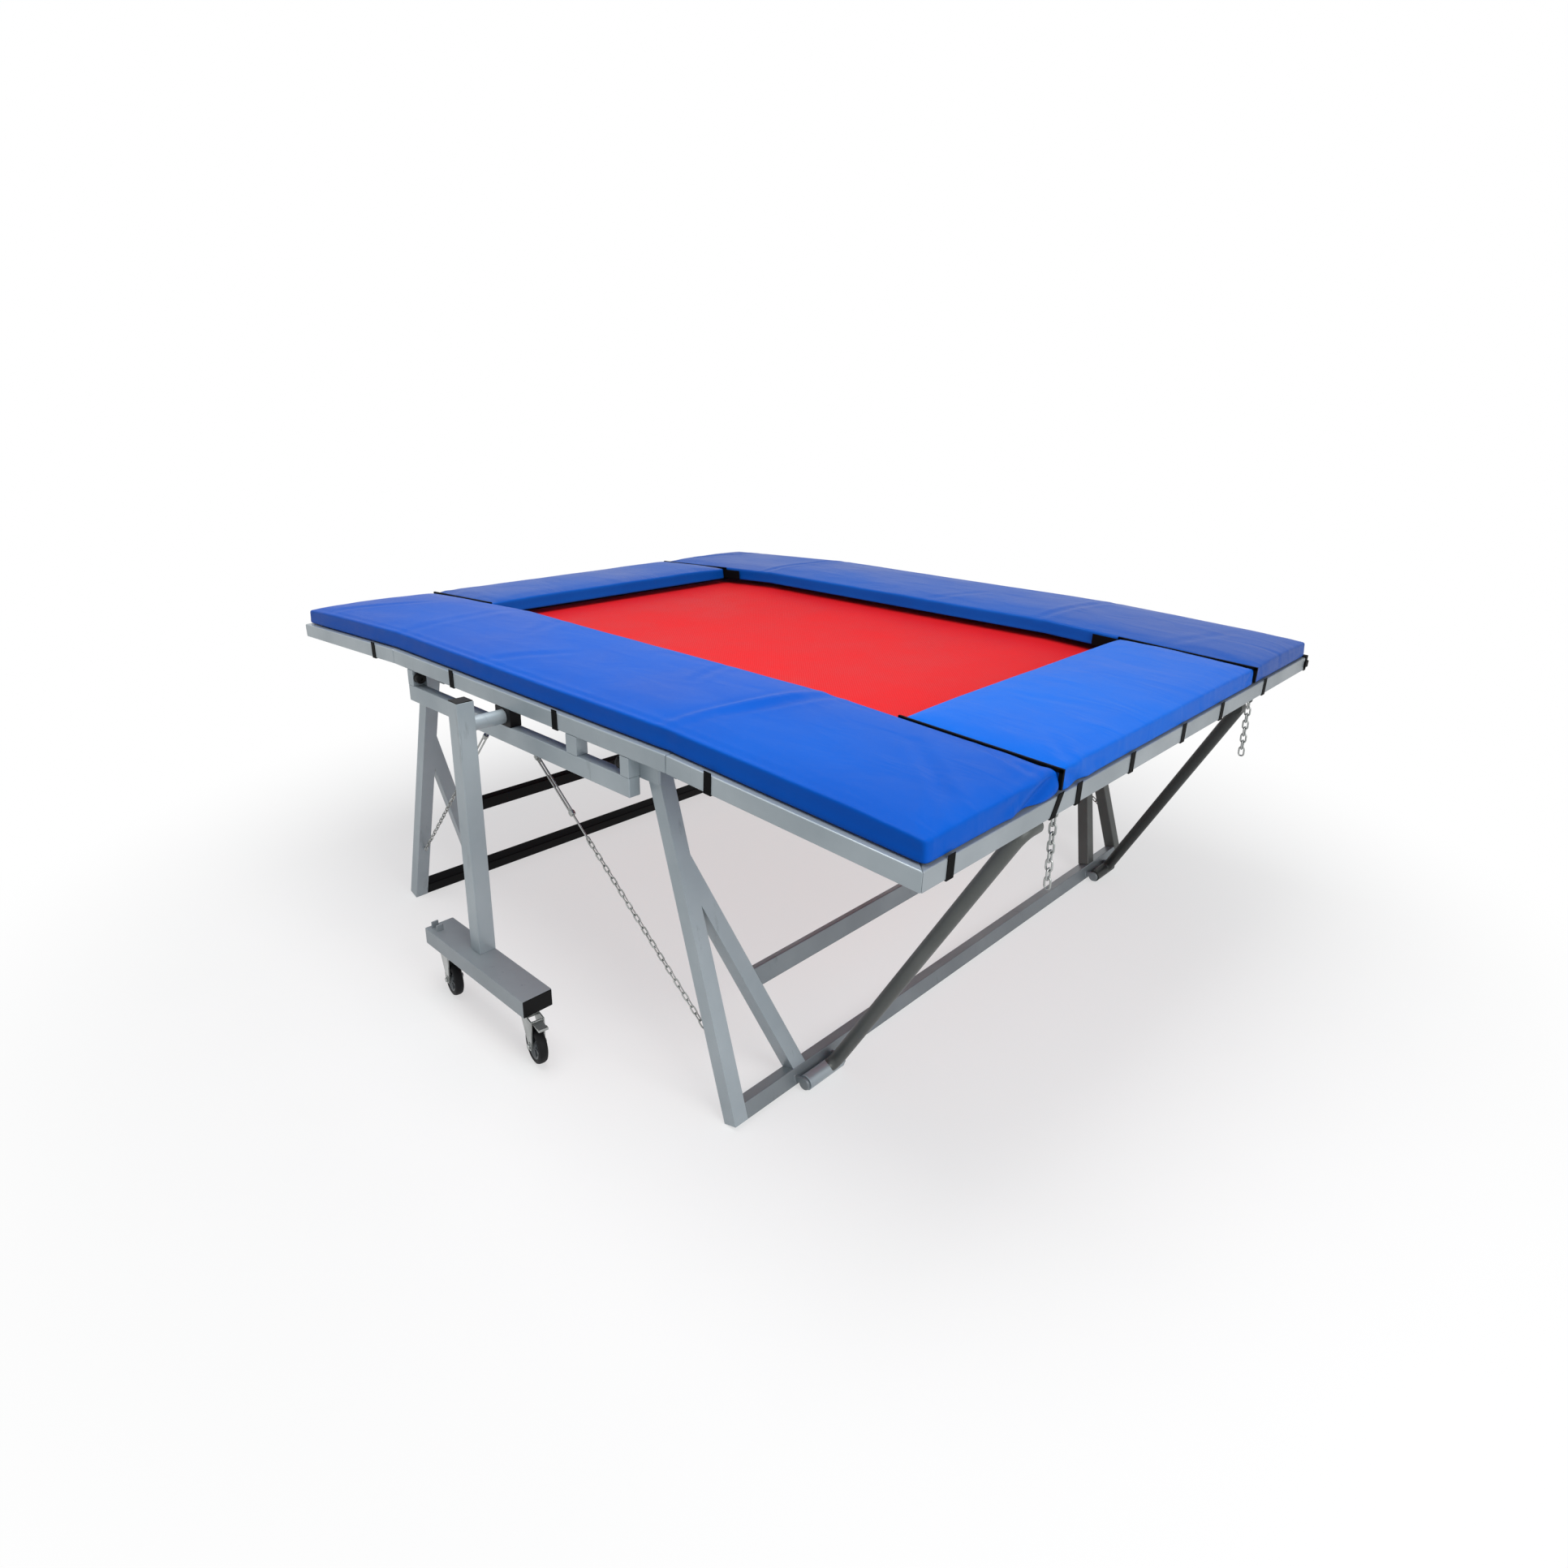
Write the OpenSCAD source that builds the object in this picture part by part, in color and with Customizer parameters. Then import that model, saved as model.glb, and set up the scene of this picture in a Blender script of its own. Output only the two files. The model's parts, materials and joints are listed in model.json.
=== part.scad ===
// Folding trampoline: a padded bed frame with two folding ends, a folding leg frame under
// each end, two struts at the right end, and a swinging roller stand on each long side.
// +Z is up, +X runs along the longer side, the near side is -Y, and the floor is z = 0.

/* [Overall] */
// Length over the end rails
length = 3300; // [2900:50:4000]
// Width over the side rails
width = 2592; // [2300:12:3200]
// Height of the side rails' top face
rail_top = 1121; // [1000:1:1400]
// Distance from the centre to each fold line
fold_x = 800; // [780:5:960]
// Droop of each folding end in degrees
end_droop = 2.6; // [0:0.1:4]

/* [Rails] */
// Height of a rail tube
rail_h = 54; // [45:1:70]
// Depth of a rail tube
rail_d = 60; // [45:1:75]
// Wall of a rail tube
rail_wall = 3; // [2:0.5:5]

/* [Lower side rails] */
// Length of each lower side rail
sub_len = 1334; // [1200:2:1400]
// Shift of its middle along X
sub_shift = -30; // [-50:1:20]
// Height of its tube
sub_h = 60; // [40:1:80]
// Depth of its tube
sub_d = 40; // [30:1:42]
// Height of the slot under the side rail
slot_h = 60; // [56:1:80]
// Width of the post at each end of the slot
end_post_w = 40; // [30:1:60]
// Width of the post inside the slot
mid_post_w = 55; // [30:1:80]
// Place of the post inside the slot
mid_post_x = 357; // [250:1:450]
// Diameter of the rubber buffer at each end of the slot
buffer_d = 38; // [24:1:38]
// Length of the buffer
buffer_len = 28; // [16:1:40]

/* [Fold hinges] */
// Length of a hinge leaf
leaf_len = 85; // [60:1:110]
// Height of a hinge leaf
leaf_h = 46; // [30:1:50]
// Thickness of a hinge leaf
leaf_t = 6; // [4:1:8]
// Diameter of a hinge knuckle
knuckle_d = 18; // [16:1:22]
// Width of one hinge knuckle
knuckle_w = 10; // [8:1:14]
// Diameter of the fold pin
fold_pin_d = 10; // [8:1:12]

/* [Pads and bed] */
// Width of the long side pads
side_pad_w = 583; // [450:1:620]
// Width of the end pads
end_pad_w = 521; // [400:1:560]
// Thickness of a pad
pad_t = 70; // [40:1:80]
// Height of a pad above the rails
pad_lift = 8; // [8:1:20]
// Inset of the side pads from the rails' outer face
pad_inset_side = 13; // [5:1:30]
// Inset of the end pads from the end rails' outer face
pad_inset_end = 4; // [4:1:20]
// Slant of the pad ends at a fold, in degrees
fold_slant = 55; // [45:1:60]
// Gap between two pads that lie side by side
pad_gap = 1; // [0.5:0.5:5]
// Thickness of the bed
bed_t = 4; // [3:0.5:8]
// Depth of the bed below the rails' top face
bed_drop = 18; // [15:1:30]
// Diameter of a spring
spring_d = 16; // [10:1:20]
// Length of a spring between rail and bed
spring_len = 296; // [200:1:340]
// Greatest spacing of the springs
spring_pitch = 100; // [60:5:150]

/* [Straps] */
// Width of a strap
strap_w = 28; // [15:1:30]
// Thickness of a strap
strap_t = 2; // [1:0.5:3]
// Place of the straps on each side of the centre of a side rail
side_strap_x = 327; // [150:1:500]
// Place of the strap on each folding arm, measured from the fold
arm_strap_x = 190; // [120:1:400]

/* [Leg frames] */
// Side of the leg tube
leg_w = 50; // [40:1:60]
// Wall of the leg tube
leg_wall = 3; // [2:0.5:5]
// Place of the leg pivots along X
leg_pivot_x = 676; // [640:1:720]
// Depth of the leg pivots below the rails' top face
leg_pivot_drop = 91; // [85:1:110]
// Lean of the leg frames in degrees
leg_lean = 16.9; // [10:0.1:20]
// Gap between a leg and the lower side rail
leg_gap = 12; // [11:1:20]
// Diameter of the leg pins
leg_pin_d = 14; // [10:1:18]
// Height at which the diagonals meet the legs
diagonal_z = 705; // [560:1:780]
// Distance along the foot tube from the leg to the diagonal
diagonal_run = 234; // [150:1:400]
// Height of the middle of the cross tube
cross_z = 365; // [250:1:450]
// Height of the cross tube
cross_h = 60; // [40:1:70]
// Depth of the cross tube
cross_d = 30; // [20:1:40]
// Thickness of the leg bracket plates
bracket_t = 10; // [6:1:10]

/* [Leg chains] */
// Diameter of a leg chain
chain_d = 10; // [6:1:14]
// Place of the right chains' upper end
right_chain_x = -20; // [-60:1:100]
// Place of the left chains' upper end
left_chain_x = -250; // [-350:1:-100]
// Height of the chain's lower end on the leg
chain_low_z = 230; // [150:1:350]

/* [Struts] */
// Outer diameter of a strut's round tube
strut_d = 44; // [32:1:46]
// Wall of a strut tube
strut_wall = 3; // [1.5:0.5:4]
// Length of the hinge sleeve at a strut's foot
sleeve_len = 156; // [100:2:200]
// Diameter of the strut hinge pin
strut_pin_d = 20; // [14:1:24]
// Distance of the hinge pin from the foot tube's face
strut_pin_out = 33; // [24:1:40]
// Height of the hinge pin above the foot tube's lower face
strut_pin_rise = 8; // [6:1:25]
// Place of the near strut's foot
near_strut_foot_y = -900; // [-1000:5:-700]
// Place of the near strut's head
near_strut_head_y = -780; // [-1000:5:-700]
// Place of the far strut's foot
far_strut_foot_y = 985; // [700:5:1000]
// Place of the far strut's head
far_strut_head_y = 690; // [600:5:1000]
// Shift of a strut's tube from the middle of its sleeve
strut_shift = 52; // [0:1:52]
// Length of the saddle on a strut's head
saddle_len = 110; // [100:5:200]
// Thickness of the saddle
saddle_t = 6; // [5:1:12]

/* [Hanging chains] */
// Wire of a chain link
link_wire = 6; // [5:1:7]
// Length of a chain link
link_len = 40; // [36:1:50]
// Width of a chain link
link_w = 24; // [22:1:30]
// Links in each hanging chain
link_count = 8; // [3:1:9]
// Place of the near hanging chain
near_hang_y = -670; // [-750:5:-500]
// Place of the far hanging chain
far_hang_y = 765; // [720:5:850]

/* [Roller stands] */
// Place of the stands along X
stand_x = -30; // [-60:1:30]
// Side of the upright post
post_w = 58; // [50:1:70]
// Wall of the post and the foot beam
post_wall = 3; // [2:0.5:5]
// Gap between the side rail and the post
post_gap = 111; // [90:1:140]
// Diameter of the swing arm
arm_d = 48; // [30:1:50]
// Width of the arm's bearing block
bearing_w = 90; // [70:1:120]
// Thickness of the arm's end washer
washer_t = 4; // [3:1:6]
// Length of the foot beam
beam_len = 631; // [500:1:800]
// Shift of the foot beam's middle from the post
beam_shift = 50; // [0:1:80]
// Width of the foot beam
beam_w = 104; // [80:1:120]
// Height of the foot beam
beam_h = 58; // [40:1:80]

/* [Castors] */
// Diameter of a castor wheel
wheel_d = 125; // [80:1:150]
// Width of a castor wheel
wheel_w = 32; // [25:1:50]
// Height of a castor with its plate
castor_h = 183; // [160:1:220]
// Trail of a castor
trail = 40; // [30:1:55]
// Distance of a castor from the foot beam's end
castor_inset = 50; // [45:1:90]
// Turn of the castors in degrees
castor_turn = -10; // [-180:5:180]
// Diameter of the castor axle
axle_d = 10; // [8:1:16]
// Diameter of the castor's swivel pin
kingpin_d = 12; // [10:1:16]

/* [Fits] */
// Radial clearance of a turning fit
pin_clear = 0.05; // [0.03:0.01:0.1]
// Gap between pieces that only rest on each other
seat_gap = 0.3; // [0.2:0.1:0.5]
// Gap between butting ends that part when folded
stop_clear = 0.5; // [0.3:0.1:1]

/* [Hidden] */
$fn = 48;

steel = "silver";
zinc = "lightgray";
black = [0.08, 0.08, 0.09];
pad_blue = "royalblue";
bed_red = "crimson";

half_l = length / 2;
half_w = width / 2;
rail_low = rail_top - rail_h;
inner_y = half_w - rail_d;
mitre_skin = rail_wall * sqrt(2);

sub_top = rail_low - slot_h;
sub_low = sub_top - sub_h;
sub_left = sub_shift - sub_len / 2;
sub_right = sub_shift + sub_len / 2;
sub_inner_y = half_w - sub_d;

end_len = (half_l - fold_x) / cos(end_droop);
butt_gap = rail_h * sin(end_droop) + stop_clear;
knuckle_r = knuckle_d / 2;
leaf_start = knuckle_r + 3;
leaf_drop = 4;
hinge_w = 3 * knuckle_w + 2;

pad_top = pad_lift + pad_t;
pad_outer_y = half_w - pad_inset_side;
pad_inner_y = pad_outer_y - side_pad_w;
pad_fold_top = pad_top * tan(fold_slant) + stop_clear;
pad_fold_low = pad_lift * tan(fold_slant) + stop_clear;
bed_half_y = inner_y - spring_len;
bed_end = end_len - rail_d - spring_len;

spring_start = leaf_len + spring_d;
mid_reach = fold_x - spring_start;
mid_count = ceil(2 * mid_reach / spring_pitch) + 1;
mid_pitch = 2 * mid_reach / (mid_count - 1);
arm_reach = bed_end - spring_d - spring_start;
arm_count = ceil(arm_reach / spring_pitch) + 1;
arm_pitch = arm_reach / (arm_count - 1);
end_reach = bed_half_y - spring_d;
end_count = ceil(2 * end_reach / spring_pitch) + 1;
end_pitch = 2 * end_reach / (end_count - 1);
strap_clear = (spring_d + strap_w) / 2 + 1;

pivot_z = rail_top - leg_pivot_drop;
leg_outer_y = sub_inner_y - leg_gap;
leg_inner_y = leg_outer_y - leg_w;
leg_half = leg_w / 2;
leg_reach = (pivot_z - leg_half * sin(leg_lean)) / cos(leg_lean);
foot_top = leg_w - leg_reach;
diagonal_top = (diagonal_z - pivot_z) / cos(leg_lean);
diagonal_slope = diagonal_run / (diagonal_top - foot_top);
diagonal_angle = atan(diagonal_slope);
cross_mid = (cross_z - pivot_z) / cos(leg_lean);
cheek_gap = 2;
bracket_weld = 8;
chain_gap = 0.05;
bracket_half = leg_half + 18;
pin_head_d = 24;
pin_head_h = 8;

chain_y = (leg_outer_y + leg_inner_y) / 2;
lug_t = 6;
lug_w = 24;
lug_inset = 16;
lug_pair = 36;

strut_pin_x = leg_half + strut_pin_out;
strut_pin_z = strut_pin_rise - leg_reach;
strut_pin_world = [
    leg_pivot_x + strut_pin_x * cos(leg_lean) - strut_pin_z * sin(leg_lean),
    pivot_z + strut_pin_x * sin(leg_lean) + strut_pin_z * cos(leg_lean),
];
strut_lug_d = strut_d - 4;
strut_tube_d = strut_d - 1;
strut_lug_t = 10;
saddle_x = end_len - rail_d / 2;
saddle_half_x = rail_d / 2 - 4;
saddle_top = -rail_h - seat_gap;
head_x = fold_x + saddle_x * cos(end_droop) + saddle_top * sin(end_droop);
head_z = rail_top - saddle_x * sin(end_droop) + saddle_top * cos(end_droop);

link_bend = link_w / 2 - link_wire;
link_straight = link_len - link_w;
link_pitch = link_straight + 2 * sqrt(pow(link_bend, 2) - pow(link_wire / 2, 2)) - seat_gap;
eye_t = 5;
eye_bore = link_wire + 6;
link_rise = sqrt(pow(link_bend, 2) - pow(eye_t / 2, 2));
eye_rise = sqrt(pow(eye_bore, 2) - pow(link_wire, 2)) / 2;
first_link = link_straight / 2 + link_rise + eye_rise - seat_gap;
eye_drop = 20;
hang_drop = rail_h + eye_drop;

post_inner_y = half_w + post_gap;
arm_z = rail_low - slot_h / 2;
post_top_z = rail_top - 1;
beam_mid_x = stand_x + beam_shift;
beam_left = beam_mid_x - beam_len / 2;
beam_right = beam_mid_x + beam_len / 2;
beam_outer_y = post_inner_y + beam_w;
beam_top = castor_h + beam_h;
castor_y = post_inner_y + beam_w / 2;
castor_left = beam_left + castor_inset;
castor_right = beam_right - castor_inset;

plate_t = 5;
plate_half = 40;
crown_t = 16;
crown_d = 56;
fork_t = 4;
fork_half = wheel_w / 2 + 3;
axle_boss_d = 30;
axle_end = 4;
fork_top = castor_h - plate_t - crown_t - 0.5;
wheel_r = wheel_d / 2;
pedal_x = trail + 12;
pedal_z = fork_top - 12;
pedal_pin_d = 6;
pedal_barrel_d = 12;

end_strap_share = [-0.92, -0.56, -0.486, -0.225, 0.045, 0.3, 0.625];

// A block between two opposite corners.
module block(low, high) {
    translate(low) cube(high - low);
}

// A closed tube between two opposite corners.
module closed_tube(low, high, wall) {
    skin = [wall, wall, wall];
    difference() {
        block(low, high);
        block(low + skin, high - skin);
    }
}

// A round bar along Y at (x, z) between y0 and y1.
module bar_y(x, z, y0, y1, d) {
    translate([x, y0, z]) rotate([-90, 0, 0]) cylinder(d = d, h = y1 - y0);
}

// A YZ outline extruded along X.
module slab_x(points, x0, x1) {
    translate([x0, 0, 0]) rotate([90, 0, 90]) linear_extrude(x1 - x0) polygon(points);
}

// An XZ outline extruded along Y.
module slab_y(points, y0, y1) {
    translate([0, y1, 0]) rotate([90, 0, 0]) linear_extrude(y1 - y0) polygon(points);
}

module far_side() {
    mirror([0, 1, 0]) children();
}

module left_end() {
    mirror([1, 0, 0]) children();
}

module both_sides() {
    children();
    far_side() children();
}

// Puts a piece drawn from the fold axis, x outwards and z = 0 at the rail top, on the right end.
module on_right_end() {
    translate([fold_x, 0, rail_top]) rotate([0, end_droop, 0]) children();
}

// Puts a piece drawn from the leg pivot, z along the leg, in the right leg frame.
module on_right_frame() {
    translate([leg_pivot_x, 0, pivot_z]) rotate([0, -leg_lean, 0]) children();
}

// Side rails and lower side rails

module side_rail() {
    color(steel) closed_tube([-fold_x, -half_w, rail_low], [fold_x, -inner_y, rail_top], rail_wall);
}

module chain_lug(x) {
    block([x - lug_w / 2, -sub_inner_y, sub_low], [x + lug_w / 2, -chain_y + lug_w / 2, sub_low + lug_t]);
}

module sub_rail() {
    color(steel) {
        closed_tube([sub_left, -half_w, sub_low], [sub_right, -sub_inner_y, sub_top], rail_wall);
        for (x = [left_chain_x, right_chain_x]) chain_lug(x);
    }
}

module slot_post(x0, x1) {
    block([x0, -half_w, sub_top], [x1, -sub_inner_y, rail_low]);
}

module slot_posts() {
    color(steel) both_sides() {
        slot_post(sub_left, sub_left + end_post_w);
        slot_post(mid_post_x - mid_post_w / 2, mid_post_x + mid_post_w / 2);
        slot_post(sub_right - end_post_w, sub_right);
    }
}

module stand_bearings() {
    color(black) both_sides() difference() {
        block(
            [stand_x - bearing_w / 2, -half_w, sub_top],
            [stand_x + bearing_w / 2, -sub_inner_y, rail_low]
        );
        bar_y(stand_x, arm_z, -half_w - 1, -sub_inner_y + 1, arm_d + 2 * pin_clear);
    }
}

// A clevis under the side rail, with the pin that the leg turns on.
module leg_bracket() {
    outer = -sub_inner_y;
    inner = -leg_inner_y + cheek_gap + bracket_t;
    plate_low = pivot_z + leg_half + cheek_gap;
    cheek_low = min(pivot_z - leg_half, sub_top - bracket_weld);
    x0 = leg_pivot_x - bracket_half;
    x1 = leg_pivot_x + bracket_half;
    block([x0, outer, plate_low], [x1, inner, rail_low]);
    block([x0, outer, cheek_low], [x1, -leg_outer_y - cheek_gap, rail_low]);
    block([x0, inner - bracket_t, cheek_low], [x1, inner, rail_low]);
    bar_y(leg_pivot_x, pivot_z, outer, inner + pin_head_h, leg_pin_d);
    translate([leg_pivot_x, inner, pivot_z]) rotate([-90, 0, 0])
        cylinder(d = pin_head_d, h = pin_head_h, $fn = 6);
}

module leg_brackets() {
    color(steel) both_sides() {
        leg_bracket();
        left_end() leg_bracket();
    }
}

// A rubber buffer with its washer, on the post at the right end of the slot.
module slot_buffer() {
    washer_t = 3;
    face = sub_len / 2 - end_post_w;
    middle = (half_w + sub_inner_y) / 2;
    translate([face, -middle, arm_z]) rotate([0, -90, 0]) {
        cylinder(d = buffer_d - 4, h = washer_t);
        translate([0, 0, washer_t]) cylinder(d = buffer_d, h = buffer_len - washer_t);
    }
}

module slot_buffers() {
    color(black) both_sides() translate([sub_shift, 0, 0]) {
        slot_buffer();
        left_end() slot_buffer();
    }
}

// The leaf on the side rail, with its two knuckles and the fold pin.
module fold_leaf() {
    y = -inner_y;
    last_y = y + hinge_w;
    web_low = rail_top - knuckle_r;
    web_end = fold_x - leaf_start - 2;
    block(
        [fold_x - leaf_len, y, rail_top - leaf_h],
        [fold_x - knuckle_r, y + leaf_t, rail_top - leaf_drop]
    );
    block([fold_x - leaf_len / 2, y, web_low], [web_end, last_y, rail_top]);
    for (y0 = [y, last_y - knuckle_w]) {
        block([web_end - 2, y0, web_low], [fold_x, y0 + knuckle_w, rail_top]);
        bar_y(fold_x, rail_top, y0, y0 + knuckle_w, knuckle_d);
    }
    bar_y(fold_x, rail_top, y, last_y, fold_pin_d);
}

module fold_leaves() {
    color(zinc) both_sides() {
        fold_leaf();
        left_end() fold_leaf();
    }
}

// The tongue on a folding arm, drawn from the fold axis, whose knuckle turns on the pin.
module fold_tongue() {
    y = -inner_y;
    knuckle_y0 = y + knuckle_w + seat_gap;
    knuckle_y1 = y + hinge_w - knuckle_w - seat_gap;
    difference() {
        union() {
            block([leaf_start, y, -leaf_h], [leaf_len, y + leaf_t, -leaf_drop]);
            block([leaf_start, y, -knuckle_r], [leaf_len / 2, knuckle_y1, 0]);
            block([0, knuckle_y0, -knuckle_r], [leaf_len / 2, knuckle_y1, 0]);
            bar_y(0, 0, knuckle_y0, knuckle_y1, knuckle_d);
        }
        bar_y(0, 0, y, y + hinge_w, fold_pin_d + 2 * pin_clear);
    }
}

module fold_tongues() {
    color(zinc) on_right_end() both_sides() fold_tongue();
}

// Folding ends, drawn from the fold axis

module arm() {
    outer = [
        [butt_gap, -half_w],
        [end_len, -half_w],
        [end_len - rail_d, -inner_y],
        [butt_gap, -inner_y],
    ];
    inner = [
        [butt_gap + rail_wall, -half_w + rail_wall],
        [end_len - rail_wall - mitre_skin, -half_w + rail_wall],
        [end_len - rail_d + rail_wall - mitre_skin, -inner_y - rail_wall],
        [butt_gap + rail_wall, -inner_y - rail_wall],
    ];
    color(steel) on_right_end() mitred_tube(outer, inner);
}

module mitred_tube(outer, inner) {
    translate([0, 0, -rail_h]) difference() {
        linear_extrude(rail_h) polygon(outer);
        translate([0, 0, rail_wall]) linear_extrude(rail_h - 2 * rail_wall) polygon(inner);
    }
}

module end_rail() {
    far_y = half_w - rail_wall - mitre_skin;
    near_y = inner_y + rail_wall - mitre_skin;
    outer = [
        [end_len, -half_w],
        [end_len, half_w],
        [end_len - rail_d, inner_y],
        [end_len - rail_d, -inner_y],
    ];
    inner = [
        [end_len - rail_wall, -far_y],
        [end_len - rail_wall, far_y],
        [end_len - rail_d + rail_wall, near_y],
        [end_len - rail_d + rail_wall, -near_y],
    ];
    color(steel) on_right_end() mitred_tube(outer, inner);
}

// A plate under the end rail that a hanging chain's first link goes through.
module chain_eye(y) {
    eye_half = eye_bore / 2 + 6;
    on_right_end() translate([saddle_x, y, 0]) difference() {
        union() {
            block([-eye_half, -eye_t / 2, -hang_drop], [eye_half, eye_t / 2, -rail_h]);
            bar_y(0, -hang_drop, -eye_t / 2, eye_t / 2, 2 * eye_half);
        }
        bar_y(0, -hang_drop, -eye_t, eye_t, eye_bore);
    }
}

module fittings_right() {
    fold_tongues();
    color(zinc) {
        chain_eye(near_hang_y);
        chain_eye(far_hang_y);
    }
}

// Bed and springs

module spring_row(count, first, pitch, z) {
    for (i = [0 : count - 1]) bar_y(first + pitch * i, z, bed_half_y, inner_y, spring_d);
}

module springs_middle() {
    z = rail_top - bed_drop - bed_t / 2;
    color(zinc) both_sides() spring_row(mid_count, -mid_reach, mid_pitch, z);
}

module end_springs() {
    z = -bed_drop - bed_t / 2;
    color(zinc) on_right_end() {
        both_sides() spring_row(arm_count, spring_start, arm_pitch, z);
        for (i = [0 : end_count - 1]) translate([bed_end, -end_reach + end_pitch * i, z])
            rotate([0, 90, 0]) cylinder(d = spring_d, h = spring_len);
    }
}

module bed_middle() {
    color(bed_red) block(
        [-fold_x, -bed_half_y, rail_top - bed_drop - bed_t],
        [fold_x, bed_half_y, rail_top - bed_drop]
    );
}

module end_bed() {
    color(bed_red) on_right_end()
        block([butt_gap, -bed_half_y, -bed_drop - bed_t], [bed_end, bed_half_y, -bed_drop]);
}

// Pads

module side_pad_middle() {
    low = fold_x - pad_fold_low;
    top = fold_x - pad_fold_top;
    color(pad_blue) slab_y(
        [
            [-low, rail_top + pad_lift],
            [low, rail_top + pad_lift],
            [top, rail_top + pad_top],
            [-top, rail_top + pad_top],
        ],
        -pad_outer_y,
        -pad_inner_y
    );
}

module end_side_pads() {
    last = end_len - pad_inset_end;
    outline = [[pad_fold_low, pad_lift], [last, pad_lift], [last, pad_top], [pad_fold_top, pad_top]];
    color(pad_blue) on_right_end() both_sides() slab_y(outline, -pad_outer_y, -pad_inner_y);
}

module end_pad() {
    last = end_len - pad_inset_end;
    reach = pad_inner_y - pad_gap;
    color(pad_blue) on_right_end()
        block([last - end_pad_w, -reach, pad_lift], [last, reach, pad_top]);
}

// Straps: a band round the rail whose two ends reach up to the pad.

module strap_band(depth) {
    reach = pad_lift - seat_gap;
    rotate([90, 0, 0]) translate([0, 0, -strap_w / 2]) linear_extrude(strap_w) difference() {
        translate([-depth - strap_t, -rail_h - strap_t])
            square([depth + 2 * strap_t, rail_h + strap_t + reach]);
        translate([-depth, -rail_h]) square([depth, rail_h + pad_top]);
    }
}

// A strap on a near side rail at x, seen from the rail's top outer edge.
module side_strap(x) {
    translate([x, -half_w, 0]) rotate([0, 0, -90]) strap_band(rail_d);
}

// A strap's place x, moved just clear of the nearest spring in a row.
function beside_spring(x, first, pitch) = let (
    near = first + round((x - first) / pitch) * pitch,
    off = x - near
) abs(off) < strap_clear ? near + (off < 0 ? -strap_clear : strap_clear) : x;

module straps_middle() {
    color(black) translate([0, 0, rail_top]) both_sides() for (side = [-1, 1])
        side_strap(beside_spring(sub_shift + side * side_strap_x, -mid_reach, mid_pitch));
}

module end_straps() {
    color(black) on_right_end() {
        both_sides() side_strap(beside_spring(arm_strap_x, spring_start, arm_pitch));
        for (share = end_strap_share)
            translate([end_len, beside_spring(share * half_w, -end_reach, end_pitch), 0])
                strap_band(rail_d);
    }
}

// Leg frames, drawn from the leg pivot

function diagonal_y(z) = -leg_inner_y + (diagonal_top - z) * diagonal_slope;

// The outline of the diagonal with its edges moved in by skin.
function diagonal_outline(skin) = let (
    half = leg_half - skin,
    side = half / sin(diagonal_angle),
    end = half / cos(diagonal_angle),
    y0 = -leg_inner_y + skin,
    z0 = diagonal_top - skin / diagonal_slope,
    z1 = foot_top + skin,
    y1 = diagonal_y(z1)
) [[y0, z0 + side], [y0, z0 - side], [y1 - end, z1], [y1 + end, z1]];

module leg() {
    difference() {
        union() {
            block([-leg_half, -leg_outer_y, -leg_reach], [leg_half, -leg_inner_y, 0]);
            bar_y(0, 0, -leg_outer_y, -leg_inner_y, leg_w);
        }
        block(
            [-leg_half + leg_wall, -leg_outer_y + leg_wall, -leg_reach + leg_wall],
            [leg_half - leg_wall, -leg_inner_y - leg_wall, -leg_half]
        );
        bar_y(0, 0, -leg_outer_y - 1, -leg_inner_y + 1, leg_pin_d + 2 * pin_clear);
    }
}

module diagonal() {
    difference() {
        slab_x(diagonal_outline(0), -leg_half, leg_half);
        slab_x(diagonal_outline(leg_wall), -leg_half + leg_wall, leg_half - leg_wall);
    }
}

module leg_side() {
    color(steel) on_right_frame() {
        leg();
        diagonal();
    }
}

module foot_tube() {
    closed_tube([-leg_half, -leg_inner_y, -leg_reach], [leg_half, leg_inner_y, foot_top], leg_wall);
}

// The two lugs and the pin that a strut's sleeve turns on.
module strut_hinge(y) {
    reach = sleeve_len / 2 + seat_gap;
    for (side = [-1, 1]) {
        y0 = y + (side > 0 ? reach : -reach - strut_lug_t);
        bar_y(strut_pin_x, strut_pin_z, y0, y0 + strut_lug_t, strut_lug_d);
        block(
            [leg_half - leg_wall, y0, strut_pin_z],
            [strut_pin_x, y0 + strut_lug_t, strut_pin_z + strut_lug_d / 2]
        );
    }
    bar_y(strut_pin_x, strut_pin_z, y - reach, y + reach, strut_pin_d);
}

module foot_tube_right() {
    color(steel) on_right_frame() {
        foot_tube();
        strut_hinge(near_strut_foot_y);
        strut_hinge(far_strut_foot_y);
    }
}

module foot_tube_left() {
    color(black) left_end() on_right_frame() foot_tube();
}

module cross_tube(tone) {
    top = cross_mid + cross_h / 2;
    low = cross_mid - cross_h / 2;
    edge = leg_half / cos(diagonal_angle);
    y_top = -diagonal_y(top) - edge;
    y_low = -diagonal_y(low) - edge;
    w = leg_wall;
    void_y = y_low - 2 * w;
    color(tone) on_right_frame() difference() {
        slab_x([[-y_low, low], [y_low, low], [y_top, top], [-y_top, top]], leg_half - cross_d, leg_half);
        block([leg_half - cross_d + w, -void_y, low + w], [leg_half - w, void_y, top - w]);
    }
}

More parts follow.
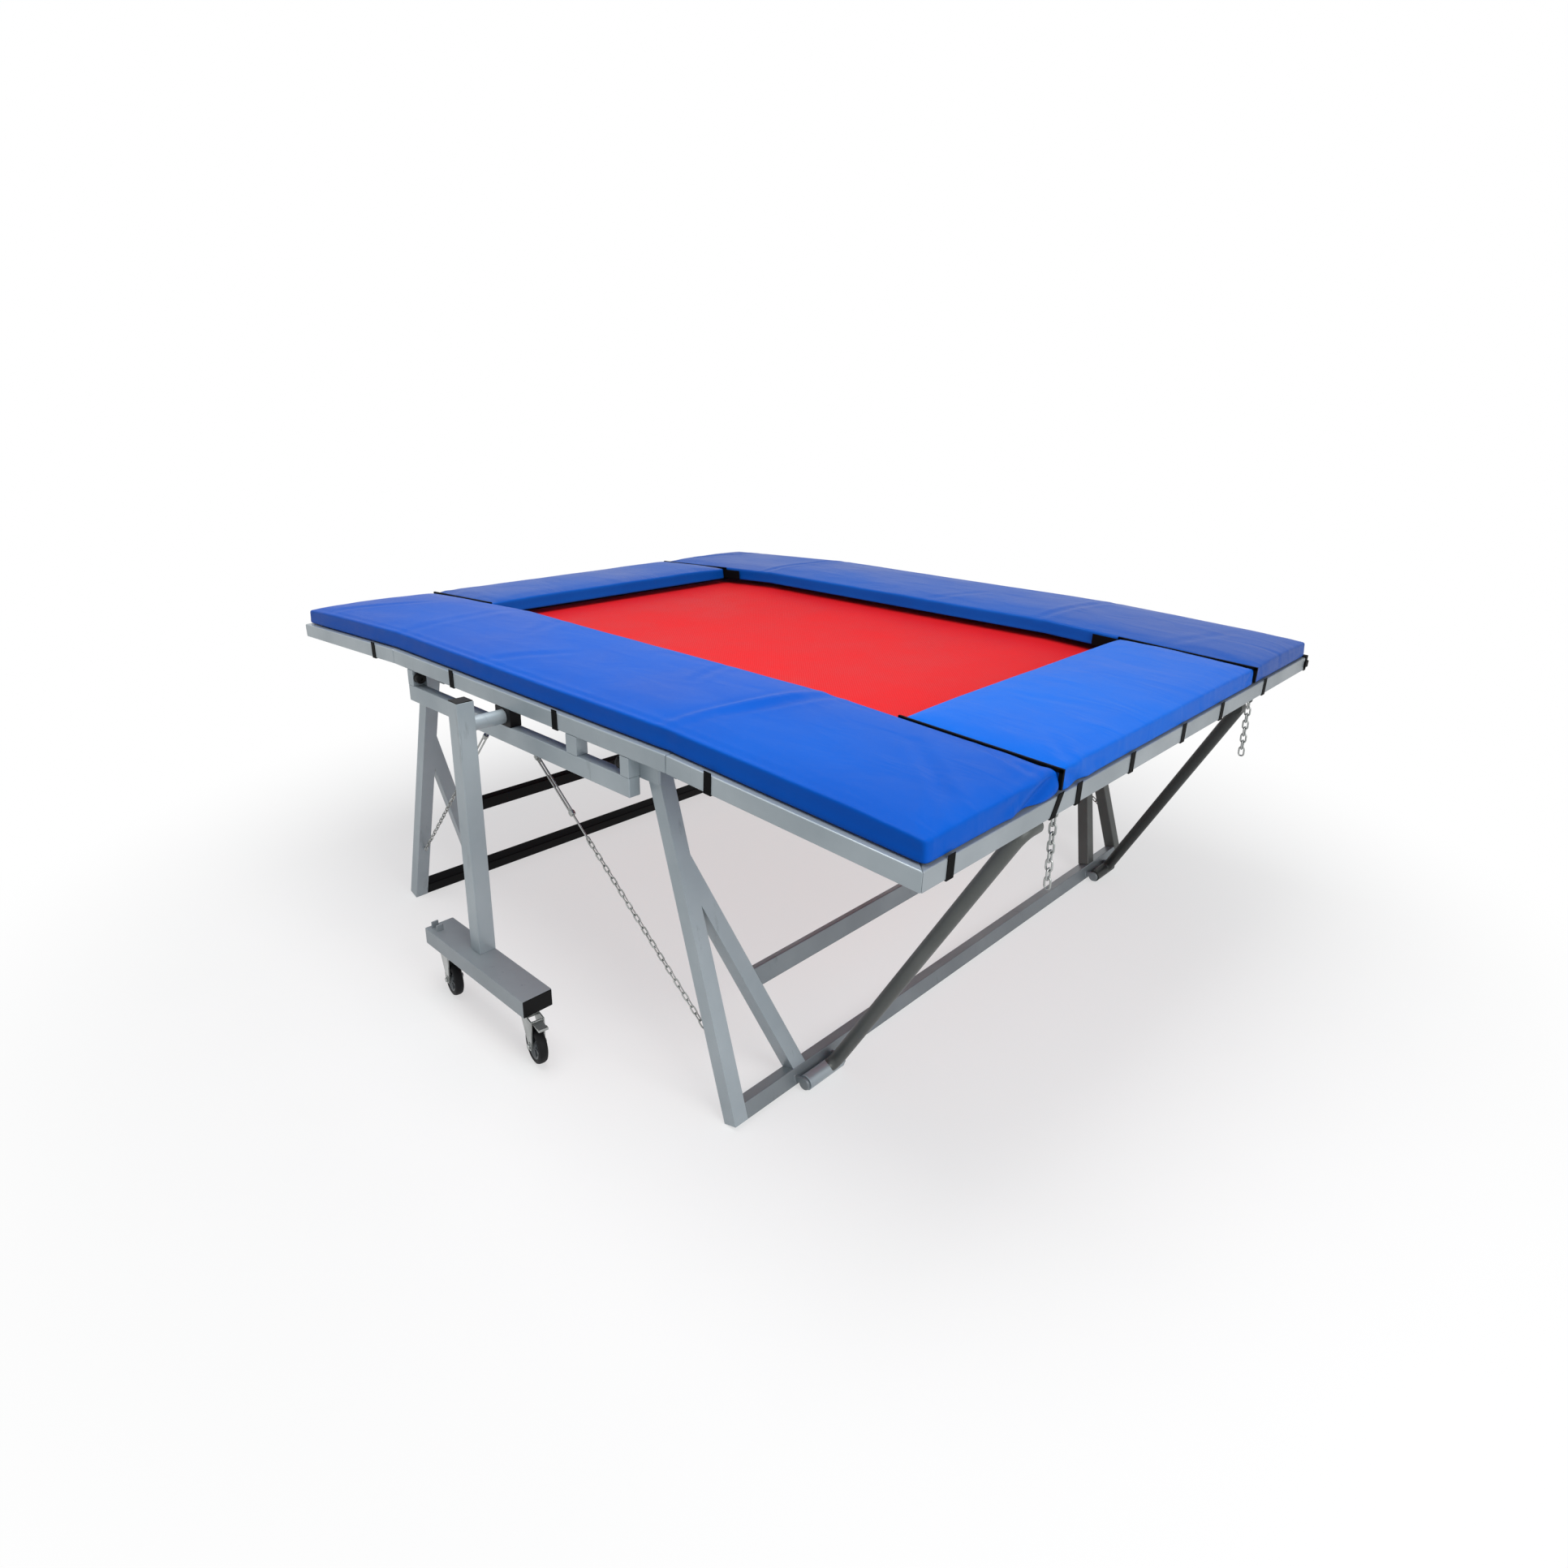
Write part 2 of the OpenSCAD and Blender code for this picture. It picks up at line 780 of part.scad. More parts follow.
// Leg chains: a plain rod from the lug on the lower side rail to the leg's inner face.
module leg_chain(top_x) {
    low_x = leg_pivot_x + (pivot_z - chain_low_z) * tan(leg_lean) - leg_half / cos(leg_lean);
    run = low_x - top_x;
    fall = sub_low - chain_d - chain_low_z;
    slope = acos((run * cos(leg_lean) - fall * sin(leg_lean)) / norm([run, fall]));
    reach = norm([run, fall]) - chain_d / 2 * tan(slope) - chain_gap;
    turnbuckle_at = 90;
    turnbuckle_len = 110;
    translate([top_x, -chain_y, sub_low - chain_d]) rotate([0, 90 + atan2(fall, run), 0]) {
        translate([0, 0, -chain_d / 4]) cylinder(d = chain_d, h = reach + chain_d / 4);
        translate([0, 0, turnbuckle_at]) cylinder(d = 2 * chain_d, h = turnbuckle_len);
    }
}

module leg_chains(top_x) {
    color(zinc) both_sides() leg_chain(top_x);
}

// Struts, drawn from the hinge pin, z along the strut
module strut(foot_y, head_y) {
    tube_y = foot_y + strut_shift;
    rise = [head_x - strut_pin_world.x, head_y - tube_y, head_z - strut_pin_world.y];
    lean = atan2(rise.x, rise.z);
    reach = norm(rise);
    splay = asin(-rise.y / reach);
    color(steel) {
        difference() {
            union() {
                bar_y(
                    strut_pin_world.x,
                    strut_pin_world.y,
                    foot_y - sleeve_len / 2,
                    foot_y + sleeve_len / 2,
                    strut_d
                );
                translate([strut_pin_world.x, tube_y, strut_pin_world.y])
                    rotate([0, lean, 0]) rotate([splay, 0, 0]) difference() {
                        cylinder(d = strut_tube_d, h = reach + strut_d);
                        translate([0, 0, strut_d])
                            cylinder(d = strut_tube_d - 2 * strut_wall, h = reach - 3 * strut_d);
                    }
            }
            bar_y(
                strut_pin_world.x,
                strut_pin_world.y,
                foot_y - sleeve_len,
                foot_y + sleeve_len,
                strut_pin_d + 2 * pin_clear
            );
            on_right_end() block(
                [0, -half_w, saddle_top - saddle_t / 2],
                [2 * end_len, half_w, rail_h]
            );
        }
        on_right_end() block(
            [saddle_x - saddle_half_x, head_y - saddle_len / 2, saddle_top - saddle_t],
            [saddle_x + saddle_half_x, head_y + saddle_len / 2, saddle_top]
        );
    }
}

// Hanging chains

// A flat oval link in the XZ plane, centred on its middle.
module link() {
    rotate([90, 0, 0]) translate([0, 0, -link_wire / 2]) linear_extrude(link_wire) difference() {
        oval(link_w, link_len);
        oval(link_w - 2 * link_wire, link_len - 2 * link_wire);
    }
}

module oval(w, h) {
    square([w, h - w], center = true);
    for (side = [-1, 1]) translate([0, side * (h - w) / 2]) circle(d = w);
}

module hang_chain(y) {
    start = [
        fold_x + saddle_x * cos(end_droop) - hang_drop * sin(end_droop),
        y,
        rail_top - saddle_x * sin(end_droop) - hang_drop * cos(end_droop),
    ];
    color(zinc) translate(start) for (i = [0 : link_count - 1])
        translate([0, 0, -first_link - i * link_pitch]) rotate([0, 0, i % 2 == 0 ? 90 : 0]) link();
}

// Roller stands

module stand_post() {
    void_d = arm_d - 2 * post_wall;
    arm_end = -sub_inner_y + seat_gap + washer_t;
    color(steel) {
        closed_tube(
            [stand_x - post_w / 2, -post_inner_y - post_w, beam_top],
            [stand_x + post_w / 2, -post_inner_y, post_top_z],
            post_wall
        );
        difference() {
            union() {
                bar_y(stand_x, arm_z, -post_inner_y, arm_end, arm_d);
                bar_y(stand_x, arm_z, arm_end - washer_t, arm_end, arm_d + 10);
            }
            bar_y(stand_x, arm_z, -post_inner_y + post_wall, arm_end - washer_t, void_d);
        }
    }
}

module beam_lug(x) {
    y = -beam_outer_y + lug_inset;
    block([x, y, beam_top], [x + lug_t, y + lug_w, beam_top + lug_w]);
}

// The fixed plate of a castor, with the pin that its fork swivels on.
module castor_plate(x) {
    translate([x, -castor_y, 0]) {
        block([-plate_half, -plate_half, castor_h - plate_t], [plate_half, plate_half, castor_h]);
        translate([0, 0, castor_h - plate_t - crown_t]) cylinder(d = kingpin_d, h = crown_t + plate_t);
    }
}

module stand_beam() {
    color(steel) {
        closed_tube([beam_left, -beam_outer_y, castor_h], [beam_right, -post_inner_y, beam_top], post_wall);
        beam_lug(beam_left + lug_inset);
        beam_lug(beam_left + lug_inset + lug_pair);
        castor_plate(castor_left);
        castor_plate(castor_right);
    }
}

// Castors, drawn from the swivel axis on the floor, trailing towards +X

module on_castor(x) {
    translate([x, -castor_y, 0]) rotate([0, 0, castor_turn]) children();
}

module fork_cheek() {
    reach = crown_d / 2 - 2;
    nose = pedal_x + 10;
    boss_r = axle_boss_d / 2;
    outline = [
        [-reach, fork_top],
        [nose, fork_top],
        [nose, pedal_z - 12],
        [trail + boss_r, wheel_r],
        [trail - boss_r, wheel_r],
        [-reach, pedal_z],
    ];
    rotate([90, 0, 0]) linear_extrude(fork_t) union() {
        polygon(outline);
        translate([trail, wheel_r]) circle(d = axle_boss_d);
    }
}

module fork(with_pedal) {
    outer = fork_half + fork_t;
    color(zinc) difference() {
        union() {
            translate([0, 0, fork_top]) cylinder(d = crown_d, h = crown_t);
            block(
                [-crown_d / 2 + 2, -outer, fork_top - fork_t],
                [crown_d / 2, outer, fork_top]
            );
            translate([0, -fork_half, 0]) fork_cheek();
            translate([0, outer, 0]) fork_cheek();
            bar_y(trail, wheel_r, -outer - axle_end, outer + axle_end, axle_d);
            if (with_pedal) bar_y(pedal_x, pedal_z, -outer, outer, pedal_pin_d);
        }
        translate([0, 0, fork_top - fork_t - 1])
            cylinder(d = kingpin_d + 2 * pin_clear, h = crown_t + fork_t + 2);
    }
}

module wheel() {
    hub_r = 18;
    web_half = wheel_w / 2 - 6;
    half = wheel_w / 2;
    shoulder = 6;
    tyre_r = wheel_r - 18;
    web_r = wheel_r - 22;
    bore_r = axle_d / 2 + pin_clear;
    profile = [
        [bore_r, -half],
        [hub_r, -half],
        [hub_r + 3, -web_half],
        [web_r, -web_half],
        [tyre_r, -half],
        [wheel_r - shoulder, -half],
        [wheel_r, -half + shoulder],
        [wheel_r, half - shoulder],
        [wheel_r - shoulder, half],
        [tyre_r, half],
        [web_r, web_half],
        [hub_r + 3, web_half],
        [hub_r, half],
        [bore_r, half],
    ];
    color(black) translate([trail, 0, wheel_r]) rotate([90, 0, 0]) rotate_extrude() polygon(profile);
}

module pedal() {
    pedal_w = wheel_w;
    pedal_t = 4;
    pedal_len = 58;
    grip = 14;
    color(zinc) translate([pedal_x, 0, pedal_z]) difference() {
        union() {
            bar_y(0, 0, -pedal_w / 2, pedal_w / 2, pedal_barrel_d);
            block([0, -pedal_w / 2, 0], [pedal_len, pedal_w / 2, pedal_t]);
            block([pedal_len - grip, -pedal_w / 2, 0], [pedal_len, pedal_w / 2, 2 * pedal_t]);
        }
        bar_y(0, 0, -pedal_w, pedal_w, pedal_pin_d + 2 * pin_clear);
    }
}

side_rail();  // side_rail_near
far_side() side_rail();  // side_rail_far
sub_rail();  // sub_rail_near
far_side() sub_rail();  // sub_rail_far
slot_posts();
stand_bearings();
leg_brackets();
slot_buffers();
fold_leaves();
springs_middle();
bed_middle();
side_pad_middle();  // pad_near_middle
far_side() side_pad_middle();  // pad_far_middle
straps_middle();
leg_chains(right_chain_x);  // leg_chains_right
left_end() leg_chains(-left_chain_x);  // leg_chains_left
end_rail();  // end_rail_right
arm();  // arm_right_near
far_side() arm();  // arm_right_far
fittings_right();
end_springs();  // springs_right
end_bed();  // bed_right
end_pad();  // pad_right
end_side_pads();  // side_pads_right
end_straps();  // straps_right
left_end() end_rail();  // end_rail_left
left_end() arm();  // arm_left_near
left_end() far_side() arm();  // arm_left_far
left_end() fold_tongues();  // fold_tongues_left
left_end() end_springs();  // springs_left
left_end() end_bed();  // bed_left
left_end() end_pad();  // pad_left
left_end() end_side_pads();  // side_pads_left
left_end() end_straps();  // straps_left
hang_chain(near_hang_y);  // hang_chain_near
hang_chain(far_hang_y);  // hang_chain_far
leg_side();  // leg_right_near
far_side() leg_side();  // leg_right_far
foot_tube_right();
cross_tube(steel);  // cross_tube_right
left_end() leg_side();  // leg_left_near
left_end() far_side() leg_side();  // leg_left_far
foot_tube_left();
left_end() cross_tube(black);  // cross_tube_left
strut(near_strut_foot_y, near_strut_head_y);  // strut_near
strut(far_strut_foot_y, far_strut_head_y);  // strut_far
stand_post();  // stand_post_near
stand_beam();  // stand_beam_near
far_side() stand_post();  // stand_post_far
far_side() stand_beam();  // stand_beam_far
on_castor(castor_left) fork(false);  // fork_near_left
on_castor(castor_right) fork(true);  // fork_near_right
far_side() on_castor(castor_left) fork(false);  // fork_far_left
far_side() on_castor(castor_right) fork(true);  // fork_far_right
on_castor(castor_left) wheel();  // wheel_near_left
on_castor(castor_right) wheel();  // wheel_near_right
far_side() on_castor(castor_left) wheel();  // wheel_far_left
far_side() on_castor(castor_right) wheel();  // wheel_far_right
on_castor(castor_right) pedal();  // pedal_near
far_side() on_castor(castor_right) pedal();  // pedal_far
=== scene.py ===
"""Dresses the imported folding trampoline: padded frame, woven bed, springs, legs, chains and roller stands."""
import json
import logging
import math
from contextlib import contextmanager
from dataclasses import dataclass, field
from enum import Enum
from typing import Callable, ClassVar, Iterable, Iterator, Sequence

import bmesh
import bpy
import numpy as np
from mathutils import Matrix, Vector, noise


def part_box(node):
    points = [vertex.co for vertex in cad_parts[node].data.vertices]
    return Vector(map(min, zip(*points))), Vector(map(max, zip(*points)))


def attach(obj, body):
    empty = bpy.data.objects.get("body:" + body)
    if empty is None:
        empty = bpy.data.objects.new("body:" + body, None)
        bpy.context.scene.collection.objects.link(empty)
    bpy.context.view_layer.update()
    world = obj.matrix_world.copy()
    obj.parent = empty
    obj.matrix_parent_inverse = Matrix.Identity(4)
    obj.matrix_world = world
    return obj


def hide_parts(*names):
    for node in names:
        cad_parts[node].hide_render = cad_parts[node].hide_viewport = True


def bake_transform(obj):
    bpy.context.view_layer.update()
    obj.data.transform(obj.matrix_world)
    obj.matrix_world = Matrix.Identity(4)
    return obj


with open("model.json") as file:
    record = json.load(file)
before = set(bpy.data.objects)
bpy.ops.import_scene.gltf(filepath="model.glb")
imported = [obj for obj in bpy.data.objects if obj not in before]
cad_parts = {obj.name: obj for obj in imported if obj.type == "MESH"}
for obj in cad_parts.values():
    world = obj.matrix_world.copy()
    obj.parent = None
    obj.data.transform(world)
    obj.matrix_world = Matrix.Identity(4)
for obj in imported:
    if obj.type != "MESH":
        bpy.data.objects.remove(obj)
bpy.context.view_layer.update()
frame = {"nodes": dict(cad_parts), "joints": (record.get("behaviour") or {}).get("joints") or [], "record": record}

LOG = logging.getLogger("trampoline")
Pair = tuple[float, float]
Point = tuple[float, float, float]
Box = tuple[Point, Point, float]
Obj = bpy.types.Object
Socket = bpy.types.NodeSocket


# ---------------------------------------------------------------- plan sizes


@dataclass(frozen=True)
class Plan:
    """Main sizes of the frame, in metres."""

    fold_x: float = 0.8
    rail_top: float = 1.121
    half_w: float = 1.296
    rail_h: float = 0.054
    droop: float = math.radians(2.6)
    lean: float = math.radians(16.9)
    pad_low: float = 0.008
    pad_top: float = 0.078
    pad_outer: float = 1.283
    pad_inner: float = 0.700
    pad_end: float = 0.8469
    end_pad_w: float = 0.521
    bed_top: float = -0.018
    bed_half: float = 0.940
    bed_reach: float = 0.4949
    spring_len: float = 0.296

    def end_point(self, x: float, y: float, z: float) -> Vector:
        """A point drawn from the right fold's axis, carried to the drooping end.

        Args:
            x: distance outwards from the fold axis.
            y: place across the frame.
            z: height above the rails' top face at the fold.

        Returns:
            The point in the row frame.
        """
        c, s = math.cos(self.droop), math.sin(self.droop)
        return Vector((self.fold_x + x * c + z * s, y, self.rail_top - x * s + z * c))

    def end_matrix(self, side: int) -> Matrix:
        """The placement of a piece drawn from the fold axis on the right (1) or left (-1) end."""
        turn = Matrix.Rotation(side * self.droop, 4, "Y")
        return Matrix.Translation((side * self.fold_x, 0, self.rail_top)) @ turn


PLAN = Plan()


class Way(Enum):
    """A direction from the middle, with its name as nodes and pieces spell it."""

    @property
    def tag(self) -> str:
        """The name in small letters."""
        return self.name.lower()


class Side(Way):
    """The two long sides."""

    NEAR = -1
    FAR = 1


class End(Way):
    """The two folding ends."""

    LEFT = -1
    RIGHT = 1


def joint(name: str) -> dict:
    """The record's joint of that name."""
    return next(row for row in frame["joints"] if row["name"] == name)


# ---------------------------------------------------------------- bench tools


class Bench:
    """The modelling tools, used as by hand."""

    sharp: ClassVar[float] = 35
    hex_corner: ClassVar[float] = 0.577
    washer: ClassVar[float] = 0.0014

    @staticmethod
    def clear() -> None:
        """Deselects every object."""
        bpy.ops.object.select_all(action="DESELECT")

    @staticmethod
    def pick(*objs: Obj) -> None:
        """Selects these objects alone and makes the first one active."""
        Bench.clear()
        for obj in objs:
            obj.select_set(True)
        bpy.context.view_layer.objects.active = objs[0]

    @staticmethod
    def name(obj: Obj, name: str) -> Obj:
        """Names an object and its data."""
        obj.name = name
        obj.data.name = name
        return obj

    @staticmethod
    def settle(obj: Obj) -> Obj:
        """Applies the place, turn and scale, so that the object sits at the origin."""
        Bench.pick(obj)
        bpy.ops.object.transform_apply(location=True, rotation=True, scale=True)
        return obj

    @staticmethod
    def apply_all(obj: Obj) -> Obj:
        """Applies every modifier in order."""
        Bench.pick(obj)
        for modifier in list(obj.modifiers):
            bpy.ops.object.modifier_apply(modifier=modifier.name)
        return obj

    @staticmethod
    def bevel(obj: Obj, width: float, segments: int) -> Obj:
        """Rounds the sharp edges and keeps the flats flat.

        Args:
            obj: the mesh object.
            width: bevel width in metres.
            segments: number of bevel segments.

        Returns:
            The same object.
        """
        rounding = obj.modifiers.new("rounding", "BEVEL")
        rounding.width = width
        rounding.segments = segments
        rounding.limit_method = "ANGLE"
        rounding.angle_limit = math.radians(Bench.sharp)
        rounding.use_clamp_overlap = True
        Bench.smooth(Bench.apply_all(obj), 40)
        flats = obj.modifiers.new("flats", "WEIGHTED_NORMAL")
        flats.keep_sharp = True
        return Bench.apply_all(obj)

    @staticmethod
    def join(objs: Sequence[Obj], name: str) -> Obj:
        """Joins several objects into one and names it.

        Args:
            objs: the pieces.
            name: name of the joined piece.

        Returns:
            The joined piece.
        """
        Bench.pick(*objs)
        if len(objs) > 1:
            bpy.ops.object.join()
        return Bench.name(bpy.context.view_layer.objects.active, name)

    @staticmethod
    def smooth(obj: Obj, angle: float) -> Obj:
        """Shades smooth below an angle in degrees."""
        Bench.pick(obj)
        bpy.ops.object.shade_smooth_by_angle(angle=math.radians(angle))
        return obj

    @staticmethod
    @contextmanager
    def editing(obj: Obj) -> Iterator[None]:
        """Edit mode on one object, with its whole mesh selected.

        Args:
            obj: the mesh object.

        Returns:
            A block of code during which edit mode is on.
        """
        Bench.pick(obj)
        bpy.ops.object.mode_set(mode="EDIT")
        bpy.ops.mesh.select_all(action="SELECT")
        yield
        bpy.ops.object.mode_set(mode="OBJECT")

    @staticmethod
    def outward(obj: Obj) -> Obj:
        """Merges doubles and turns every face outwards."""
        with Bench.editing(obj):
            bpy.ops.mesh.remove_doubles(threshold=1e-5)
            bpy.ops.mesh.normals_make_consistent(inside=False)
        return obj

    @staticmethod
    def copy(obj: Obj, name: str) -> Obj:
        """Copies a finished piece with a mesh of its own.

        Args:
            obj: the piece to copy.
            name: name of the copy.

        Returns:
            The copy.
        """
        twin = bpy.data.objects.new(name, obj.data.copy())
        bpy.context.scene.collection.objects.link(twin)
        twin.data.name = name
        return twin

    @staticmethod
    def place(obj: Obj, matrix: Matrix) -> Obj:
        """Moves a piece's mesh by a matrix."""
        obj.data.transform(matrix)
        return obj

    @staticmethod
    def aim(spot: Vector, axis: Vector, rest: Point = (0, 0, 1)) -> Matrix:
        """The placement that carries the origin to a spot and the rest direction to an axis."""
        turn = Vector(rest).rotation_difference(axis).to_matrix().to_4x4()
        return Matrix.Translation(spot) @ turn

    @staticmethod
    def repeat(pattern: Obj, places: Iterable[Matrix]) -> list[Obj]:
        """A copy of the pattern at each place."""
        name = pattern.name
        return [Bench.place(Bench.copy(pattern, f"{name}_{i}"), place) for i, place in enumerate(places)]

    @staticmethod
    @contextmanager
    def opened(obj: Obj) -> Iterator[bmesh.types.BMesh]:
        """Opens an object's mesh for work and writes it back.

        Args:
            obj: the mesh object.

        Returns:
            The open mesh.
        """
        work = bmesh.new()
        work.from_mesh(obj.data)
        yield work
        work.to_mesh(obj.data)
        work.free()

    @staticmethod
    def points(obj: Obj, kind: str = "co") -> np.ndarray:
        """The vertices, or another triple of theirs such as the normal, as an array."""
        values = np.empty(len(obj.data.vertices) * 3)
        obj.data.vertices.foreach_get(kind, values)
        return values.reshape(-1, 3)

    @staticmethod
    def set_points(obj: Obj, co: np.ndarray) -> None:
        """Writes the vertices back."""
        obj.data.vertices.foreach_set("co", co.ravel())
        obj.data.update()

    @staticmethod
    def reshape(obj: Obj, change: Callable[..., np.ndarray], *values: object, **named: object) -> None:
        """Passes the vertices through a function, with any values it needs besides."""
        Bench.set_points(obj, change(Bench.points(obj), *values, **named))

    @staticmethod
    def cube(low: Point, high: Point) -> Obj:
        """A sharp box between two opposite corners.

        Args:
            low: lowest corner.
            high: highest corner.

        Returns:
            The new object, at the origin.
        """
        a, b = Vector(low), Vector(high)
        Bench.clear()
        bpy.ops.mesh.primitive_cube_add(size=1, location=(a + b) / 2)
        box = bpy.context.active_object
        box.scale = b - a
        return Bench.settle(box)

    @staticmethod
    def block(low: Point, high: Point, bevel: float, segments: int) -> Obj:
        """A bevelled box between two opposite corners.

        Args:
            low: lowest corner.
            high: highest corner.
            bevel: edge rounding in metres.
            segments: bevel segments.

        Returns:
            The new object, at the origin.
        """
        return Bench.bevel(Bench.cube(low, high), bevel, segments)

    @staticmethod
    def mirrored(half: Sequence[Pair]) -> list[Pair]:
        """A lathe outline from its lower half, carried on upside down."""
        return [*half, *((r, -z) for r, z in reversed(half))]

    @staticmethod
    def lathe(profile: Sequence[Pair], steps: int, closed: bool = True) -> Obj:
        """Spins an outline of (radius, height) round +Z.

        Args:
            profile: outline points.
            steps: number of steps round.
            closed: whether the outline closes on itself.

        Returns:
            The new object, at the origin.
        """
        Bench.clear()
        bpy.ops.mesh.primitive_plane_add(size=1)
        obj = bpy.context.active_object
        mesh = obj.data
        mesh.clear_geometry()
        count = len(profile)
        edges = [(i, (i + 1) % count) for i in range(count if closed else count - 1)]
        mesh.from_pydata([(r, 0, z) for r, z in profile], edges, [])
        with Bench.editing(obj):
            bpy.ops.mesh.spin(steps=steps, angle=2 * math.pi, center=(0, 0, 0), axis=(0, 0, 1))
        return Bench.smooth(Bench.outward(obj), 30)

    @staticmethod
    def wire(points: Sequence[Vector], radius: float, sides: int, loop: bool = False) -> Obj:
        """A round wire or tube along a line of points.

        Args:
            points: points of the centre line.
            radius: outer radius.
            sides: sides of the section, an even number from 4.
            loop: whether the line closes on itself.

        Returns:
            The new mesh object, at the origin.
        """
        data = bpy.data.curves.new("wire", "CURVE")
        data.dimensions = "3D"
        line = data.splines.new("POLY")
        line.points.add(len(points) - 1)
        for spot, point in zip(line.points, points):
            spot.co = (*point, 1)
        line.use_cyclic_u = loop
        data.bevel_depth = radius
        data.bevel_resolution = sides // 2 - 2
        data.use_fill_caps = not loop
        obj = bpy.data.objects.new("wire", data)
        bpy.context.scene.collection.objects.link(obj)
        Bench.pick(obj)
        bpy.ops.object.convert(target="MESH")
        obj = bpy.context.view_layer.objects.active
        return Bench.smooth(Bench.outward(obj), 60)

    @staticmethod
    def hex_bolt(spot: Vector, axis: Vector, across: float, height: float) -> Obj:
        """A hexagon head on a washer, standing on a face.

        Args:
            spot: middle of the face it stands on.
            axis: direction away from the face.
            across: width of the head.
            height: height of the head.

        Returns:
            The new object, at the origin.
        """
        Bench.clear()
        middle, radius = (0, 0, height / 2 + Bench.washer - 0.0002), across * Bench.hex_corner
        bpy.ops.mesh.primitive_cylinder_add(vertices=6, radius=radius, depth=height, location=middle)
        head = Bench.bevel(Bench.settle(bpy.context.active_object), across * 0.06, 1)
        r, top = across * 0.85, Bench.washer
        washer = Bench.lathe([(r * 0.5, 0), (r, 0), (r, 0.001), (r * 0.95, top), (r * 0.5, top)], 20)
        bolt = Bench.join([head, washer], "bolt")
        return Bench.place(bolt, Bench.aim(spot, axis))

    @staticmethod
    def islands(work: bmesh.types.BMesh) -> Iterator[list[bmesh.types.BMFace]]:
        """The groups of faces that hang together.

        Args:
            work: the open mesh.

        Returns:
            One list of faces after another.
        """
        seen: set[int] = set()
        for face in work.faces:
            queue = [] if face.index in seen else [face]
            seen.add(face.index)
            for here in queue:
                for other in (f for edge in here.edges for f in edge.link_faces if f.index not in seen):
                    seen.add(other.index)
                    queue.append(other)
            if queue:
                yield queue

    @staticmethod
    def volume(island: Iterable[bmesh.types.BMFace]) -> float:
        """A measure of the volume inside faces of at least three corners, below zero for an inner wall."""
        corners = ([corner.vert.co for corner in face.loops] for face in island)
        return sum(a.dot(b.cross(c)) for a, b, c, *_ in corners)

    @staticmethod
    def node_copy(node: str, name: str) -> Obj:
        """Copies a CAD node as a clean mesh: doubles merged, hidden inner walls out, flat faces whole.

        Args:
            node: name of the CAD node.
            name: name of the new piece.

        Returns:
            The new object, at the origin.
        """
        obj = Bench.copy(frame["nodes"][node], name)
        with Bench.opened(obj) as work:
            bmesh.ops.remove_doubles(work, verts=work.verts, dist=1e-6)
            inner = [face for island in Bench.islands(work) if Bench.volume(island) < 0 for face in island]
            bmesh.ops.delete(work, geom=inner, context="FACES")
            flat = math.radians(0.6)
            bmesh.ops.dissolve_limit(work, angle_limit=flat, verts=work.verts, edges=work.edges)
        obj.data.materials.clear()
        return obj


def hold(obj: Obj, body: str | None, finish: "Finish", slot: str, nodes: Iterable[str] = ()) -> None:
    """Dresses a finished piece, makes it ride on its body and reports it.

    Args:
        obj: the piece.
        body: the CAD body it rides on, or None where it rides on no body.
        finish: the finish it wears.
        slot: the record's material slot; not used.
        nodes: CAD nodes that it stands for.
    """
    obj.data.materials.clear()
    obj.data.materials.append(finish.material())
    if body:
        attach(obj, body)
    if nodes := list(nodes):
        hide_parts(*nodes)
    LOG.info("%s: %d faces on %s", obj.name, len(obj.data.polygons), body)


# ---------------------------------------------------------------- finishes


def tone(code: str) -> tuple[float, float, float, float]:
    """Turns a six-digit screen colour into a linear one."""
    parts = [int(code[i : i + 2], 16) / 255 for i in (0, 2, 4)]
    linear = [c / 12.92 if c <= 0.04045 else ((c + 0.055) / 1.055) ** 2.4 for c in parts]
    return (*linear, 1.0)


